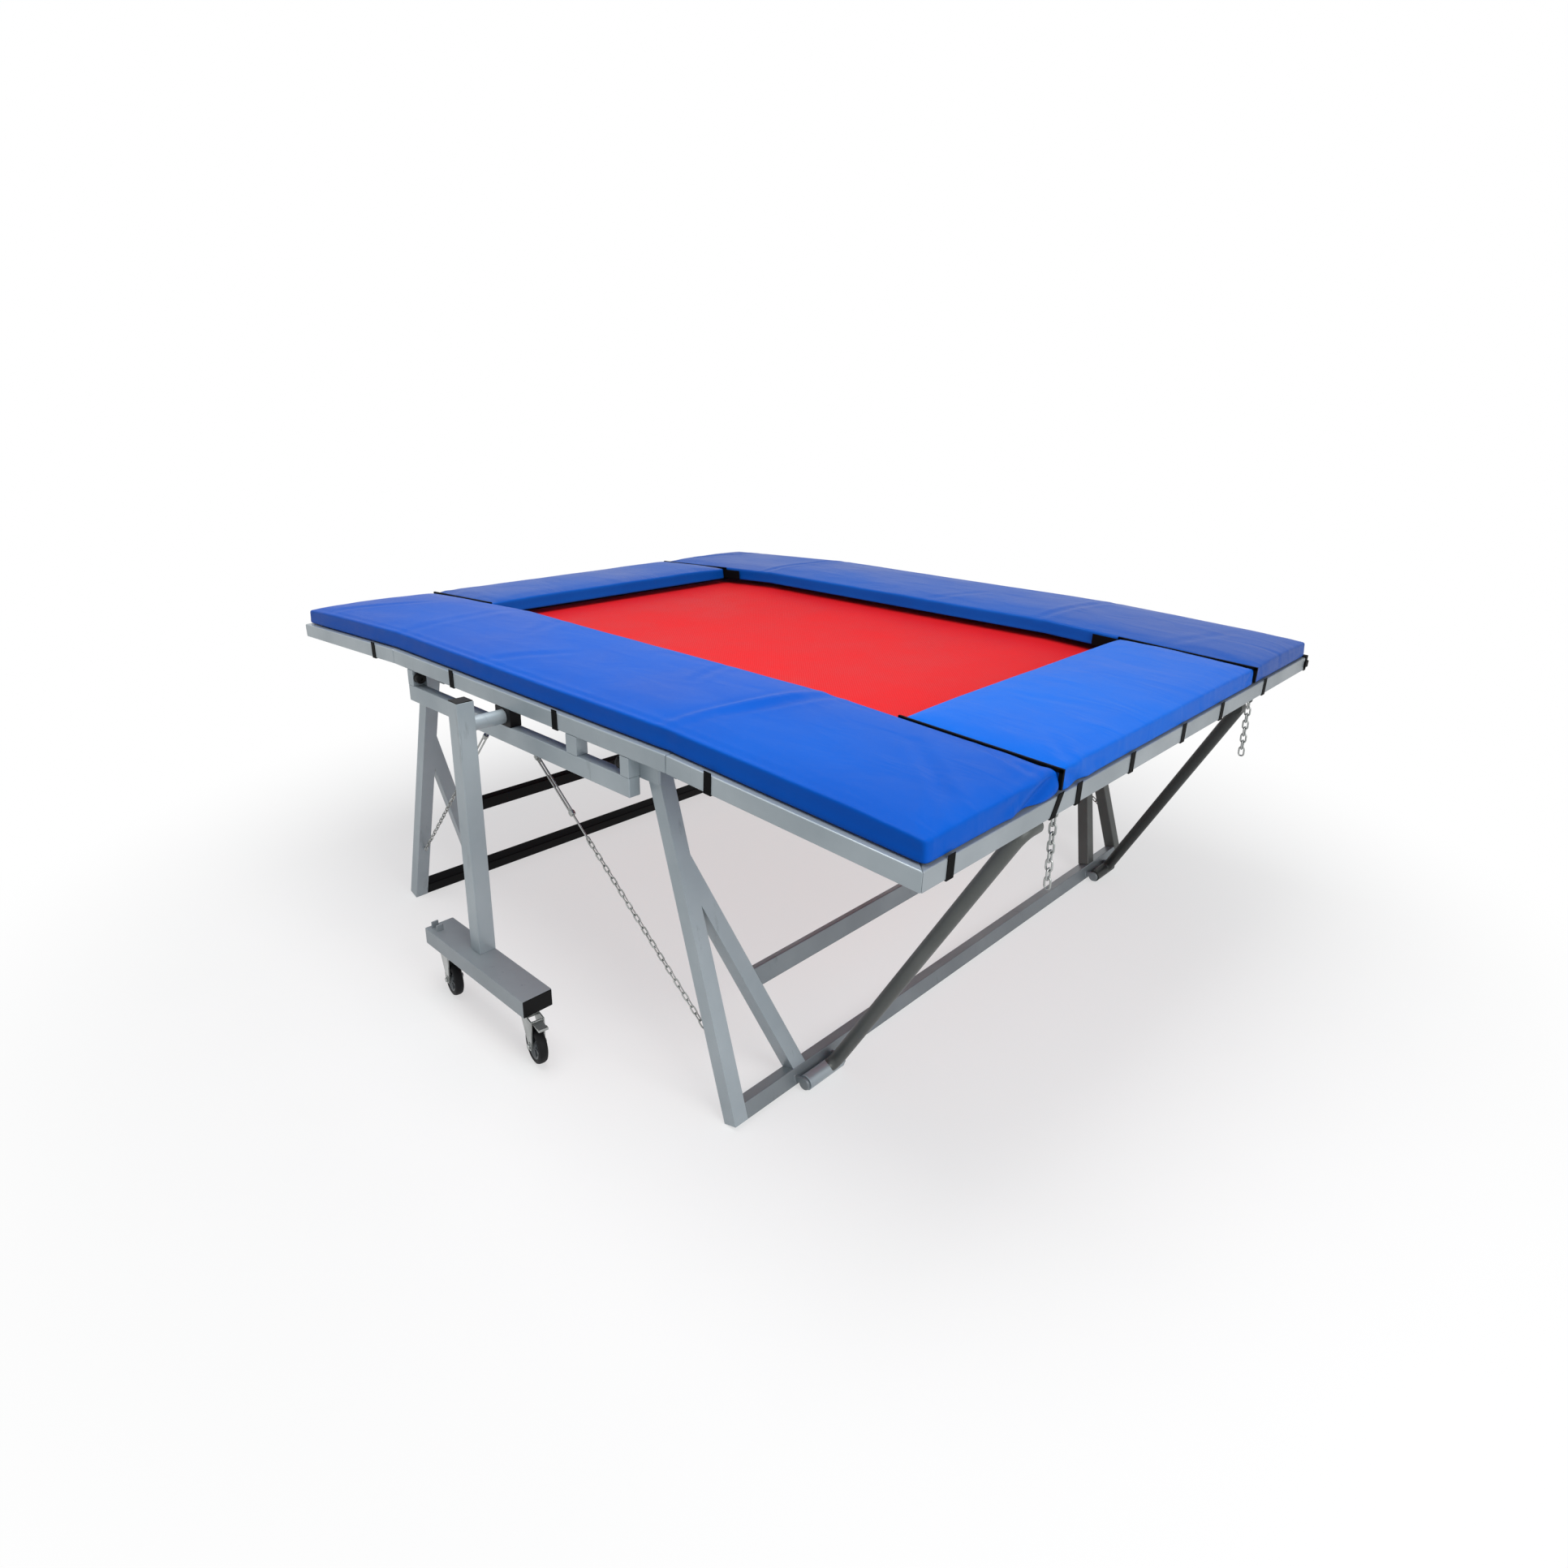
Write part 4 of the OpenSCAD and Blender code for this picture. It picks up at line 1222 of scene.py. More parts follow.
@dataclass
class Padding:
    """The long side pads, each split at its soft folds, and the two end pads."""

    maker: PadMaker = field(default_factory=PadMaker)
    fold_soft: float = 0.118
    gap: float = 0.004
    swell: float = 0.003
    stuffing: float = 0.8

    def build(self) -> None:
        """Makes every pad and hangs the middle and end pads on their bodies."""
        low, high = PLAN.rail_top + PLAN.pad_low, PLAN.rail_top + PLAN.pad_top - self.swell
        reach = PLAN.fold_x + PLAN.pad_end - self.swell
        strips: dict[Side, Obj] = {}
        for side in Side:
            outer = side.value * (PLAN.pad_outer - self.swell)
            y0, y1 = sorted((outer, side.value * (PLAN.pad_inner + self.gap)))
            strips[side] = self.maker.blank(f"side_strip_{side.tag}", (-reach, y0, low), (reach, y1, high))
            Bench.reshape(strips[side], self.maker.hang_rim, [(1, outer), (0, -reach), (0, reach)])
        ends: dict[End, Obj] = {}
        inner = PLAN.pad_inner - self.gap
        for end in End:
            x0, x1 = sorted((end.value * (reach - PLAN.end_pad_w + self.swell), end.value * reach))
            ends[end] = self.maker.blank(f"pad_{end.tag}.cover", (x0, -inner, low), (x1, inner, high))
            Bench.reshape(ends[end], self.maker.hang_rim, [(0, end.value * reach)])
        self.maker.fill()
        for side, strip in strips.items():
            self.finish_side(side, strip, low, high)
        for end, pad in ends.items():
            self.finish_end(end, pad, low, high)

    def creases(self, side: Side, low: float, high: float) -> list[Crease]:
        """The creases of one long strip.

        Args:
            side: near or far.
            low: height of the foam's base.
            high: height of its top.

        Returns:
            The creases, drawn flat.
        """
        s = side.value
        tip = PLAN.fold_x + PLAN.pad_end
        out, base = s * PLAN.pad_outer, s * PLAN.pad_inner
        rows = [(-1.62, out - s * 0.026, 1.62, out - s * 0.026, 0.0035, 0.010)]
        if side is Side.FAR:
            rows += [
                (-0.84, base, -0.76, out, 0.005, 0.018),
                (0.76, base, 0.84, out, 0.004, 0.018),
                (-1.60, 0.76, -1.38, 1.26, 0.0055, 0.018),
                (0.20, 0.72, 0.34, 1.0, 0.002, 0.022),
                (1.30, 0.72, 1.42, 1.1, 0.002, 0.022),
            ]
        else:
            rows += [
                (-0.83, base, -0.77, out, 0.0022, 0.030),
                (0.84, base, 0.76, out, -0.0055, 0.020),
                (0.90, base, 0.83, -1.10, 0.0045, 0.022),
                (1.42, -0.73, 1.64, -0.80, 0.004, 0.018),
                (1.30, -0.86, 1.62, -1.14, 0.0045, 0.022),
                (1.48, -1.02, 1.63, -1.25, 0.0035, 0.016),
                (-1.45, -1.24, -1.28, -0.90, 0.003, 0.026),
                (-0.20, -1.26, -0.02, -1.00, 0.0024, 0.026),
                (-0.55, -0.72, -0.38, -0.95, 0.0024, 0.026),
                (0.42, -0.72, 0.52, -0.95, 0.003, 0.020),
            ]
        creases = [Crease((xa, ya, high), (xb, yb, high), *size) for xa, ya, xb, yb, *size in rows]
        if side is Side.NEAR:
            creases += [
                Crease((0.78, out, high), (0.79, out, low), 0.002, 0.026),
                Crease((tip, -0.70, high - 0.012), (tip, -0.90, low - 0.004), 0.0135, 0.018),
                Crease((tip, -0.735, high - 0.002), (tip, -1.02, low + 0.016), 0.003, 0.016),
            ]
        return creases

    def finish_side(self, side: Side, strip: Obj, low: float, high: float) -> None:
        """Creases a long strip at its folds, then parts it into middle and ends.

        Args:
            side: near or far.
            strip: the filled strip, drawn flat.
            low: height of the foam's base.
            high: height of its top.
        """
        Bench.reshape(strip, self.maker.ripple, low, high, 3.0 + side.value)
        self.maker.refine(strip)
        if side is Side.NEAR:
            self.maker.refine(strip)
        self.maker.crease(strip, self.creases(side, low, high))
        Bench.reshape(strip, self.maker.droop)
        # The far side pads wear the cover cloth darkened as painted shade.
        finish = NEAR_BLUE if side is Side.NEAR else SHADED_BLUE
        edge = PLAN.fold_x - self.fold_soft
        name = side.tag
        middle = self.part(strip, f"pad_{name}_middle.cover", -edge, edge)
        hold(middle, "base", finish, "pad_vinyl", [f"pad_{name}_middle"])
        for end in End:
            e = end.value
            x0, x1 = sorted((e * edge, e * 3.0))
            piece = self.part(strip, f"side_pad_{end.tag}_{name}.cover", x0, x1)
            hold(piece, None, finish, "pad_vinyl", [f"side_pads_{end.tag}"])
            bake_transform(piece)
        bpy.data.objects.remove(strip)

    @staticmethod
    def part(strip: Obj, name: str, x0: float, x1: float) -> Obj:
        """Cuts the stretch from x0 to x1 out of a strip and closes its cut ends.

        Args:
            strip: the whole strip.
            name: name of the part.
            x0: where it starts.
            x1: where it ends.

        Returns:
            The part.
        """
        piece = Bench.copy(strip, name)
        for x, way in ((x0, 1), (x1, -1)):
            with Bench.editing(piece):
                bpy.ops.mesh.bisect(plane_co=(x, 0, 0), plane_no=(way, 0, 0), use_fill=True, clear_inner=True)
        return Bench.smooth(piece, 70)

    def finish_end(self, end: End, pad: Obj, low: float, high: float) -> None:
        """Makes one end pad uneven, droops it and hangs it on its end.

        Args:
            end: left or right.
            pad: the filled pad, drawn flat.
            low: height of the foam's base.
            high: height of its top.
        """
        e = end.value
        tip, inner = e * (PLAN.fold_x + PLAN.pad_end), PLAN.pad_inner
        Bench.reshape(pad, self.maker.ripple, low, high, 9.0 + e)
        self.maker.refine(pad)
        self.maker.crease(pad, [
            Crease((tip, -inner - 0.004, high - 0.02), (tip, -inner + 0.12, low - 0.004), 0.009, 0.018),
            Crease((tip, -inner + 0.05, high), (tip, -inner + 0.22, low + 0.02), 0.003, 0.016),
            Crease((tip - e * 0.005, 0.05 - inner, high), (tip - e * 0.12, 0.16 - inner, high), 0.003, 0.018),
            Crease((tip, inner - 0.012, high - 0.01), (tip, inner - 0.09, low + 0.01), 0.003, 0.010),
            Crease((tip - e * 0.45, -0.30, high), (tip - e * 0.12, -0.22, high), 0.0015, 0.020),
        ])
        Bench.reshape(pad, self.maker.droop)
        name = end.tag
        # The right end pad wears the cover cloth lightened as painted light, the left one the cloth darkened as
        # painted shade.
        hold(pad, f"end_{name}", LIT_BLUE if end is End.RIGHT else SHADED_BLUE, "pad_vinyl", [f"pad_{name}"])


# ---------------------------------------------------------------- bed and springs


@dataclass
class JumpingBed:
    """The woven bed in three panels, with a sewn hem all round."""

    thick: float = 0.003
    soft: float = 0.1
    cell: float = 0.03
    hem: float = 0.045
    hem_over: float = 0.0012
    sag: float = 0.004

    def build(self) -> None:
        """Makes the three panels and their hems."""
        edge = PLAN.fold_x - self.soft
        reach = PLAN.fold_x + PLAN.bed_reach
        for end, x0, x1 in ((None, -edge, edge), (End.RIGHT, edge, reach), (End.LEFT, -reach, -edge)):
            name = end.tag if end else "middle"
            panel = self.panel(f"bed_{name}.cloth", x0, x1)
            self.lay(panel, end, BED_RED, "bed_weave", [f"bed_{name}"])
            hem = Bench.join(self.bands(end, x0, x1), f"bed_{name}.hem")
            Bench.reshape(hem, PadMaker.droop)
            self.lay(hem, end, BLACK_WEB, "webbing")

    def lay(self, piece: Obj, end: End | None, finish: Finish, slot: str, nodes: Iterable[str] = ()) -> None:
        """Dresses a piece. The middle one rides on the base; the others, drooped softly over their fold, ride on
        no body.

        Args:
            piece: panel or hem.
            end: the end it reaches, or None for the middle one.
            finish: the finish it wears.
            slot: the record's material slot.
            nodes: CAD nodes that it stands for.
        """
        hold(piece, None if end else "base", finish, slot, nodes)
        if end:
            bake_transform(piece)

    def panel(self, name: str, x0: float, x1: float) -> Obj:
        """One panel of cloth with a slight sag, drooped at its end.

        Args:
            name: name of the panel.
            x0: where it starts.
            x1: where it ends.

        Returns:
            The panel.
        """
        Bench.clear()
        nx, ny = round((x1 - x0) / self.cell), round(2 * PLAN.bed_half / self.cell)
        middle = ((x0 + x1) / 2, 0, 0)
        bpy.ops.mesh.primitive_grid_add(x_subdivisions=nx, y_subdivisions=ny, size=1, location=middle)
        panel = Bench.name(bpy.context.active_object, name)
        panel.scale = (x1 - x0, 2 * PLAN.bed_half, 1)
        Bench.settle(panel)
        co = Bench.points(panel)
        u = co[:, 0] / (PLAN.fold_x + PLAN.bed_reach)
        v = co[:, 1] / PLAN.bed_half
        sag = self.sag * np.clip(1 - u**2, 0, 1) * np.clip(1 - v**2, 0, 1)
        co[:, 2] = PLAN.rail_top + PLAN.bed_top - self.thick / 2 - sag
        Bench.set_points(panel, PadMaker.droop(co))
        wall = panel.modifiers.new("wall", "SOLIDIFY")
        wall.thickness = self.thick
        wall.offset = 0
        Bench.apply_all(panel)
        return Bench.smooth(panel, 50)

    def bands(self, end: End | None, x0: float, x1: float) -> list[Obj]:
        """The hem webbing along a panel's free edges, drawn flat.

        Args:
            end: the end it reaches, or None for the middle panel.
            x0: where the panel starts.
            x1: where it ends.

        Returns:
            The bands.
        """
        z1 = PLAN.rail_top + PLAN.bed_top + self.hem_over
        z0 = z1 - self.thick - 2 * self.hem_over
        strips = []
        for s in (-1, 1):
            y0, y1 = sorted((s * PLAN.bed_half, s * (PLAN.bed_half - self.hem)))
            strips.append(self.band((x0, y0, z0), (x1, y1, z1)))
        if end:
            reach = PLAN.fold_x + PLAN.bed_reach
            xa, xb = sorted((end.value * reach, end.value * (reach - self.hem)))
            strips.append(self.band((xa, -PLAN.bed_half, z0), (xb, PLAN.bed_half, z1)))
        return strips

    @staticmethod
    def band(low: Point, high: Point) -> Obj:
        """A flat band cut often enough along its length to bend.

        Args:
            low: lowest corner.
            high: highest corner.

        Returns:
            The band.
        """
        strip = Bench.block(low, high, 0.0008, 1)
        span = [b - a for a, b in zip(low, high)]
        axis = 0 if span[0] > span[1] else 1
        PadMaker.cut(strip, axis, span[axis] * 0.5, max(4, round(span[axis] / 0.03)))
        return strip


@dataclass
class Springs:
    """Rows of coil springs between the rails and the bed."""

    wire: float = 0.0017
    radius: float = 0.0068
    turns: int = 26
    steps: int = 7
    hook: float = 0.036
    pitch: float = 0.1
    fold_gap: float = 0.101
    corner_gap: float = 0.016
    drop: float = 0.002

    def coil(self) -> Obj:
        """One spring along +Y from 0 to its length, with a hook at each end.

        Returns:
            The spring.
        """
        length, count, r = PLAN.spring_len, self.turns * self.steps, self.radius
        body = length - 2 * self.hook
        hook = [(0, 0.002, 0), (0, self.hook * 0.6, 0), (r * 0.6, self.hook * 0.9, 0)]
        points = [Vector(point) for point in hook]
        for i in range(count + 1):
            a = 2 * math.pi * i / self.steps
            points.append(Vector((r * math.cos(a), self.hook + body * i / count, r * math.sin(a))))
        points += [Vector((x, length - y, z)) for x, y, z in reversed(hook)]
        return Bench.wire(points, self.wire, 4)

    def spread(self, first: float, last: float) -> list[float]:
        """Even places from first to last, at most a pitch apart."""
        gaps = math.ceil((last - first) / self.pitch)
        return [first + (last - first) * i / gaps for i in range(gaps + 1)]

    @staticmethod
    def row(pattern: Obj, places: Iterable[Matrix], name: str, body: str) -> None:
        """Copies the pattern spring to each place, joins the copies and hangs them on their body."""
        coils = Bench.join(Bench.repeat(pattern, places), f"springs_{name}.coils")
        hold(coils, body, SPRING_STEEL, "zinc", [f"springs_{name}"])

    def build(self) -> None:
        """Makes the three sets of springs."""
        pattern = self.coil()
        z, inner = PLAN.bed_top - self.drop, PLAN.bed_half
        far = Matrix.Translation((0, inner, 0))
        near = Matrix.Translation((0, -inner, 0)) @ Matrix.Rotation(math.pi, 4, "Z")
        reach = PLAN.fold_x - self.fold_gap
        middle = (Matrix.Translation((x, 0, PLAN.rail_top + z)) for x in self.spread(-reach, reach))
        self.row(pattern, [place @ side for place in middle for side in (far, near)], "middle", "base")
        beside = self.spread(self.fold_gap, PLAN.bed_reach - self.corner_gap)
        across = self.spread(self.corner_gap - inner, inner - self.corner_gap)
        for end in End:
            e = end.value
            at, turn = PLAN.end_matrix(e), Matrix.Rotation(-e * math.pi / 2, 4, "Z")
            local = [Matrix.Translation((e * x, 0, z)) @ side for x in beside for side in (far, near)]
            local += [Matrix.Translation((e * PLAN.bed_reach, y, z)) @ turn for y in across]
            self.row(pattern, [at @ place for place in local], end.tag, f"end_{end.tag}")
        bpy.data.objects.remove(pattern)


# ---------------------------------------------------------------- chains and struts


@dataclass
class Chains:
    """Hanging chains on the right end and the stay chains of the legs."""

    hang_links: int = 8
    hang_length: float = 0.040
    stay_wire: float = 0.0023
    stay_pitch: float = 0.0235
    rod_top: float = 0.026
    body_top: float = 0.07
    body_low: float = 0.305
    rod_low: float = 0.405
    rail_y: float = 1.219
    top_z: float = 0.936
    low_z: float = 0.230
    leg_pivot: Pair = (0.676, 1.030)

    @staticmethod
    def link(wire: float, length: float, width: float, sides: int = 6, arc: int = 5) -> Obj:
        """A round-wire oval link in the XZ plane, centred on its middle.

        Args:
            wire: radius of the wire.
            length: outer length along Z.
            width: outer width along X.
            sides: sides of the wire's section.
            arc: points in each half turn.

        Returns:
            The new object, at the origin.
        """
        bend = width / 2 - wire
        half = length / 2 - width / 2
        points = []
        for way in (1, -1):
            for i in range(arc + 1):
                a = math.pi * i / arc
                points.append(Vector((way * bend * math.cos(a), 0, way * (half + bend * math.sin(a)))))
        return Bench.wire(points, wire, sides, loop=True)

    @staticmethod
    def string(link: Obj, top: Vector, drops: Iterable[float]) -> list[Obj]:
        """Copies a link to each drop below the top, every other one turned by a quarter.

        Args:
            link: the link, which is used up.
            top: middle of a link without a drop.
            drops: distances below it.

        Returns:
            The placed links.
        """
        places = []
        for i, drop in enumerate(drops):
            turn = Matrix.Rotation(math.pi / 2 if i % 2 == 0 else 0, 4, "Z")
            places.append(Matrix.Translation((top.x, top.y, top.z - drop)) @ turn)
        parts = Bench.repeat(link, places)
        bpy.data.objects.remove(link)
        return parts

    def hanging(self, side: Side) -> None:
        """One hanging chain, link for link where the CAD links are.

        Args:
            side: near or far.
        """
        node = f"hang_chain_{side.tag}"
        low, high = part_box(node)
        top = (low + high) / 2
        top.z = high.z - self.hang_length / 2
        pitch = (high.z - low.z - self.hang_length) / (self.hang_links - 1)
        link = self.link(0.0031, self.hang_length, 0.024, 8, 7)
        links = self.string(link, top, [i * pitch for i in range(self.hang_links)])
        hold(Bench.join(links, node + ".links"), f"hanging_chain_{side.tag}", ZINC, "zinc", [node])

    def stay(self, name: str, top: Vector, low: Vector) -> Obj:
        """One stay chain: an eye, a turnbuckle, then links down to the leg.

        Args:
            name: name of the piece.
            top: its upper end on the lower side rail.
            low: its lower end on the leg.

        Returns:
            The joined chain.
        """
        along = low - top
        parts = [Bench.place(self.link(0.003, 0.034, 0.022, 8, 6), Matrix.Translation((0, 0, -0.013)))]
        for x, upper, lower, radius in (
            (0, self.rod_top, self.body_top + 0.02, 0.0035),
            (0, self.body_low - 0.02, self.rod_low, 0.0035),
            (-0.0075, self.body_top, self.body_low, 0.0032),
            (0.0075, self.body_top, self.body_low, 0.0032),
        ):
            parts.append(Bench.wire([Vector((x, 0, -upper)), Vector((x, 0, -lower))], radius, 8))
        for z in (self.body_top, self.body_low):
            nut = Bench.lathe(Bench.mirrored([(0.0036, -0.008), (0.0095, -0.008), (0.0105, -0.004)]), 12)
            parts.append(Bench.place(nut, Matrix.Translation((0, 0, -z))))
        eye = self.link(0.003, 0.028, 0.020, 8, 6)
        parts.append(Bench.place(eye, Matrix.Translation((0, 0, -self.rod_low - 0.009))))
        drops = [self.rod_low + 0.028]
        while drops[-1] + self.stay_pitch < along.length - 0.014:
            drops.append(drops[-1] + self.stay_pitch)
        link = self.link(self.stay_wire, self.stay_pitch + 4 * self.stay_wire, 0.017)
        parts += self.string(link, Vector(), drops)
        return Bench.place(Bench.join(parts, name), Bench.aim(top, along.normalized(), (0, 0, -1)))

    def build(self) -> None:
        """Makes the two hanging chains and the four stay chains."""
        for side in Side:
            self.hanging(side)
        pivot_x, pivot_z = self.leg_pivot
        low_x = pivot_x + (pivot_z - self.low_z) * math.tan(PLAN.lean) - 0.025 / math.cos(PLAN.lean) - 0.001
        for end, top_x in ((End.RIGHT, -0.020), (End.LEFT, -0.250)):
            for side in Side:
                y = side.value * self.rail_y
                top, low = Vector((top_x, y, self.top_z)), Vector((end.value * low_x, y, self.low_z))
                chain = self.stay(f"stay_chain_{end.tag}_{side.tag}", top, low)
                hold(chain, None, CHAIN_STEEL, "zinc", [f"leg_chains_{end.tag}"])
                tuple(top)
                tuple(low)
                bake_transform(chain)


@dataclass
class Struts:
    """The two bent round tubes that prop up the right end."""

    radius: float = 0.022
    sleeve: float = 0.156
    shift: float = 0.052
    head_x: float = 0.8209
    head_gap: float = 0.0006
    knee_run: float = 0.055

    def build(self) -> None:
        """Makes both struts."""
        # Both strut tubes wear silver darkened as painted shade, the far one darker still, and so does the far
        # sleeve.
        self.make(Side.NEAR, -0.900, -0.798, 0.074, SHADOW_SILVER, SILVER)
        self.make(Side.FAR, 0.985, 0.660, 0.06, DEEP_SHADE_STEEL, DEEP_SHADE_STEEL)

    def make(
        self, side: Side, foot_y: float, head_y: float, saddle: float, paint: Paint, foot_paint: Paint
    ) -> None:
        """Bends one tube from its hinge sleeve up to the end rail and along its underside.

        Args:
            side: near or far.
            foot_y: middle of the hinge sleeve across the frame.
            head_y: middle of the saddle across the frame.
            saddle: length of the saddle.
            paint: paint of the tube, darkened as painted shade.
            foot_paint: paint of the sleeve, on the far side darkened as painted shade.
        """
        pin = Vector(joint(f"strut_{side.tag}_swing")["pos_m"])
        r, half, body = self.radius, self.sleeve / 2, f"strut_{side.tag}"
        under = -PLAN.rail_h - self.head_gap - r
        ends = (head_y + way * side.value * saddle / 2 for way in (1, -1))
        head, stop = (PLAN.end_point(self.head_x, y, under) for y in ends)
        start = Vector((pin.x, foot_y - half + 0.012, pin.z))
        knee = Vector((pin.x, foot_y + self.shift, pin.z))
        points = [start, start.lerp(knee, 0.5), *self.turn(start, knee, head, self.knee_run)]
        points += [knee.lerp(head, 0.5), *self.turn(knee, head, stop, 0.58 * saddle), stop]
        strut = Bench.smooth(Bench.name(Bench.wire(points, r, 20), f"{body}.tube"), 50)
        hold(strut, body, paint, "steel", [body])
        outline = [(r - 0.004, -half), (r + 0.0012, -half), (r + 0.002, 0.0008 - half)]
        sleeve = Bench.name(Bench.lathe(Bench.mirrored(outline), 40), f"{body}.sleeve")
        Bench.place(sleeve, Matrix.Translation((pin.x, foot_y, pin.z)) @ Matrix.Rotation(math.pi / 2, 4, "X"))
        hold(sleeve, body, foot_paint, "steel")

    @staticmethod
    def turn(a: Vector, corner: Vector, b: Vector, run: float) -> list[Vector]:
        """Nine points of the bend from a to b round a corner, starting and ending run away from it."""
        c, d = (corner + (end - corner).normalized() * run for end in (a, b))
        return [(1 - t) ** 2 * c + 2 * t * (1 - t) * corner + t**2 * d for t in (i / 8 for i in range(9))]


# ---------------------------------------------------------------- stands and castors


@dataclass
class Stands:
    """Caps, bolts and wheels of the two roller stands."""

    post_x: float = -0.030
    post_y: float = 1.436
    post_half: float = 0.029
    post_top: float = 1.120
    beam_left: float = -0.2955
    beam_right: float = 0.3355
    beam_low: float = 0.183
    beam_high: float = 0.241
    beam_in: float = 1.407
    beam_out: float = 1.511
    plate_y: float = 1.459
    plate_low: float = 0.178
    plate_inset: float = 0.05
    bolt_reach: float = 0.029
    nut_reach: float = 0.0234
    race_low: float = 0.1635
    wheel_r: float = 0.0625
    wheel_half: float = 0.016

    def build(self) -> None:
        """Makes the trim of both stands."""
        for side in Side:
            self.caps(side)
            self.plates(side)
            for end in End:
                self.wheel(side, end)

    def caps(self, side: Side) -> None:
        """The plastic plugs in the post's top and the beam's ends.

        Args:
            side: near or far.
        """
        h = self.post_half - 0.001
        x, y = self.post_x, side.value * self.post_y
        low, high = (x - h, y - h, self.post_top - 0.002), (x + h, y + h, self.post_top + 0.003)
        parts = [Bench.block(low, high, 0.002, 3)]
        y0, y1 = sorted((side.value * self.beam_in, side.value * self.beam_out))
        for x, way in ((self.beam_left, -1), (self.beam_right, 1)):
            xa, xb = sorted((x - way * 0.002, x + way * 0.0035))
            low, high = (xa, y0 + 0.001, self.beam_low + 0.001), (xb, y1 - 0.001, self.beam_high - 0.001)
            parts.append(Bench.block(low, high, 0.0022, 3))
        hold(Bench.join(parts, f"stand_caps_{side.tag}"), f"stand_{side.tag}", BLACK_PLASTIC, "black_plastic")

    def plates(self, side: Side) -> None:
        """Bolts that hold the castor plates under the beam.

        Args:
            side: near or far.
        """
        reach, down, bolts = self.bolt_reach, Vector((0, 0, -1)), []
        for x in (self.beam_left + self.plate_inset, self.beam_right - self.plate_inset):
            for dx, dy in ((-reach, -reach), (-reach, reach), (reach, -reach), (reach, reach)):
                spot = Vector((x + dx, side.value * self.plate_y + dy, self.plate_low))
                bolts.append(Bench.hex_bolt(spot, down, 0.011, 0.005))
        hold(Bench.join(bolts, f"castor_bolts_{side.tag}"), f"stand_{side.tag}", ZINC, "zinc")

    def wheel(self, side: Side, end: End) -> None:
        """A tyre on its rim, with the hub, axle nuts and swivel race.

        Args:
            side: near or far.
            end: left or right castor of the stand.
        """
        name = f"{side.tag}_{end.tag}"
        roll = joint(f"castor_{name}_roll")
        axle, axis = Vector(roll["pos_m"]), Vector(roll["axis"])
        at = Bench.aim(axle, axis)
        r, h = self.wheel_r, self.wheel_half
        tread = [(r - 0.017, -h + 0.002), (r - 0.009, -h), (r - 0.003, -h + 0.003)]
        tread += [(r - 0.0006, -h + 0.008), (r, -0.004)]
        tyre = Bench.name(Bench.lathe(Bench.mirrored(tread), 64), f"tyre_{name}")
        hold(Bench.place(tyre, at), f"wheel_{name}", TYRE, "wheel_rubber", [f"wheel_{name}"])
        hub = [(0.0052, -h), (0.013, -h), (0.0145, -h + 0.003), (0.017, -0.008), (0.034, -0.007)]
        seat = [(r - 0.021, -h + 0.004), (r - 0.0165, -h + 0.0022)]
        parts = [Bench.lathe(Bench.mirrored(hub + seat), 48)]
        for i in range(6):
            rib = Bench.block((0.016, -0.0018, -0.012), (r - 0.021, 0.0018, 0.012), 0.0006, 1)
            parts.append(Bench.place(rib, Matrix.Rotation(i * math.pi / 3, 4, "Z")))
        hold(Bench.place(Bench.join(parts, f"rim_{name}"), at), f"wheel_{name}", HUB, "wheel_rubber")
        parts = [Bench.hex_bolt(axle + out * self.nut_reach, out, 0.016, 0.006) for out in (-axis, axis)]
        pin = joint(f"castor_{name}_swivel")["pos_m"]
        rings = [(0.0125, 0), (0.030, 0), (0.033, 0.003), (0.033, 0.006), (0.0295, 0.0085), (0.0125, 0.0085)]
        parts.append(Bench.place(Bench.lathe(rings, 40), Matrix.Translation((pin[0], pin[1], self.race_low))))
        hold(Bench.join(parts, f"fork_trim_{name}"), f"fork_{name}", ZINC, "zinc")


@dataclass
class SlotBuffers:
    """Rubber buffers on washers at both ends of each slot."""

    radius: float = 0.019
    length: float = 0.028
    washer: float = 0.003
    middle_x: float = -0.030
    reach: float = 0.627
    y: float = 1.276
    z: float = 1.037

    def profile(self) -> list[tuple[float, float]]:
        """The outline of one buffer: washer, waist, and a top with its screw hole.

        Returns:
            Points of radius and height.
        """
        r, top, base = self.radius, self.length, self.washer
        waist, hole = r - 0.0012, top - 0.004
        foot = [(0.0, 0.0), (r - 0.002, 0.0), (r - 0.002, base), (r, base), (r, base + 0.004)]
        groove = [(waist, base + 0.0075), (waist, base + 0.010), (r, base + 0.0135), (r, top - 0.005)]
        head = [(r - 0.002, top - 0.0012), (r - 0.005, top), (0.0055, top), (0.0045, hole), (0.0, hole)]
        return foot + groove + head

    def build(self) -> None:
        """Makes the four buffers as one piece."""
        parts = []
        for side in Side:
            for end in End:
                buffer = Bench.lathe(self.profile(), 32, closed=False)
                spot = Vector((self.middle_x + end.value * self.reach, side.value * self.y, self.z))
                parts.append(Bench.place(buffer, Bench.aim(spot, Vector((-end.value, 0, 0)))))
        buffers = Bench.join(parts, "slot_buffers.finished")
        hold(buffers, "base", BLACK_PLASTIC, "black_plastic", ["slot_buffers"])


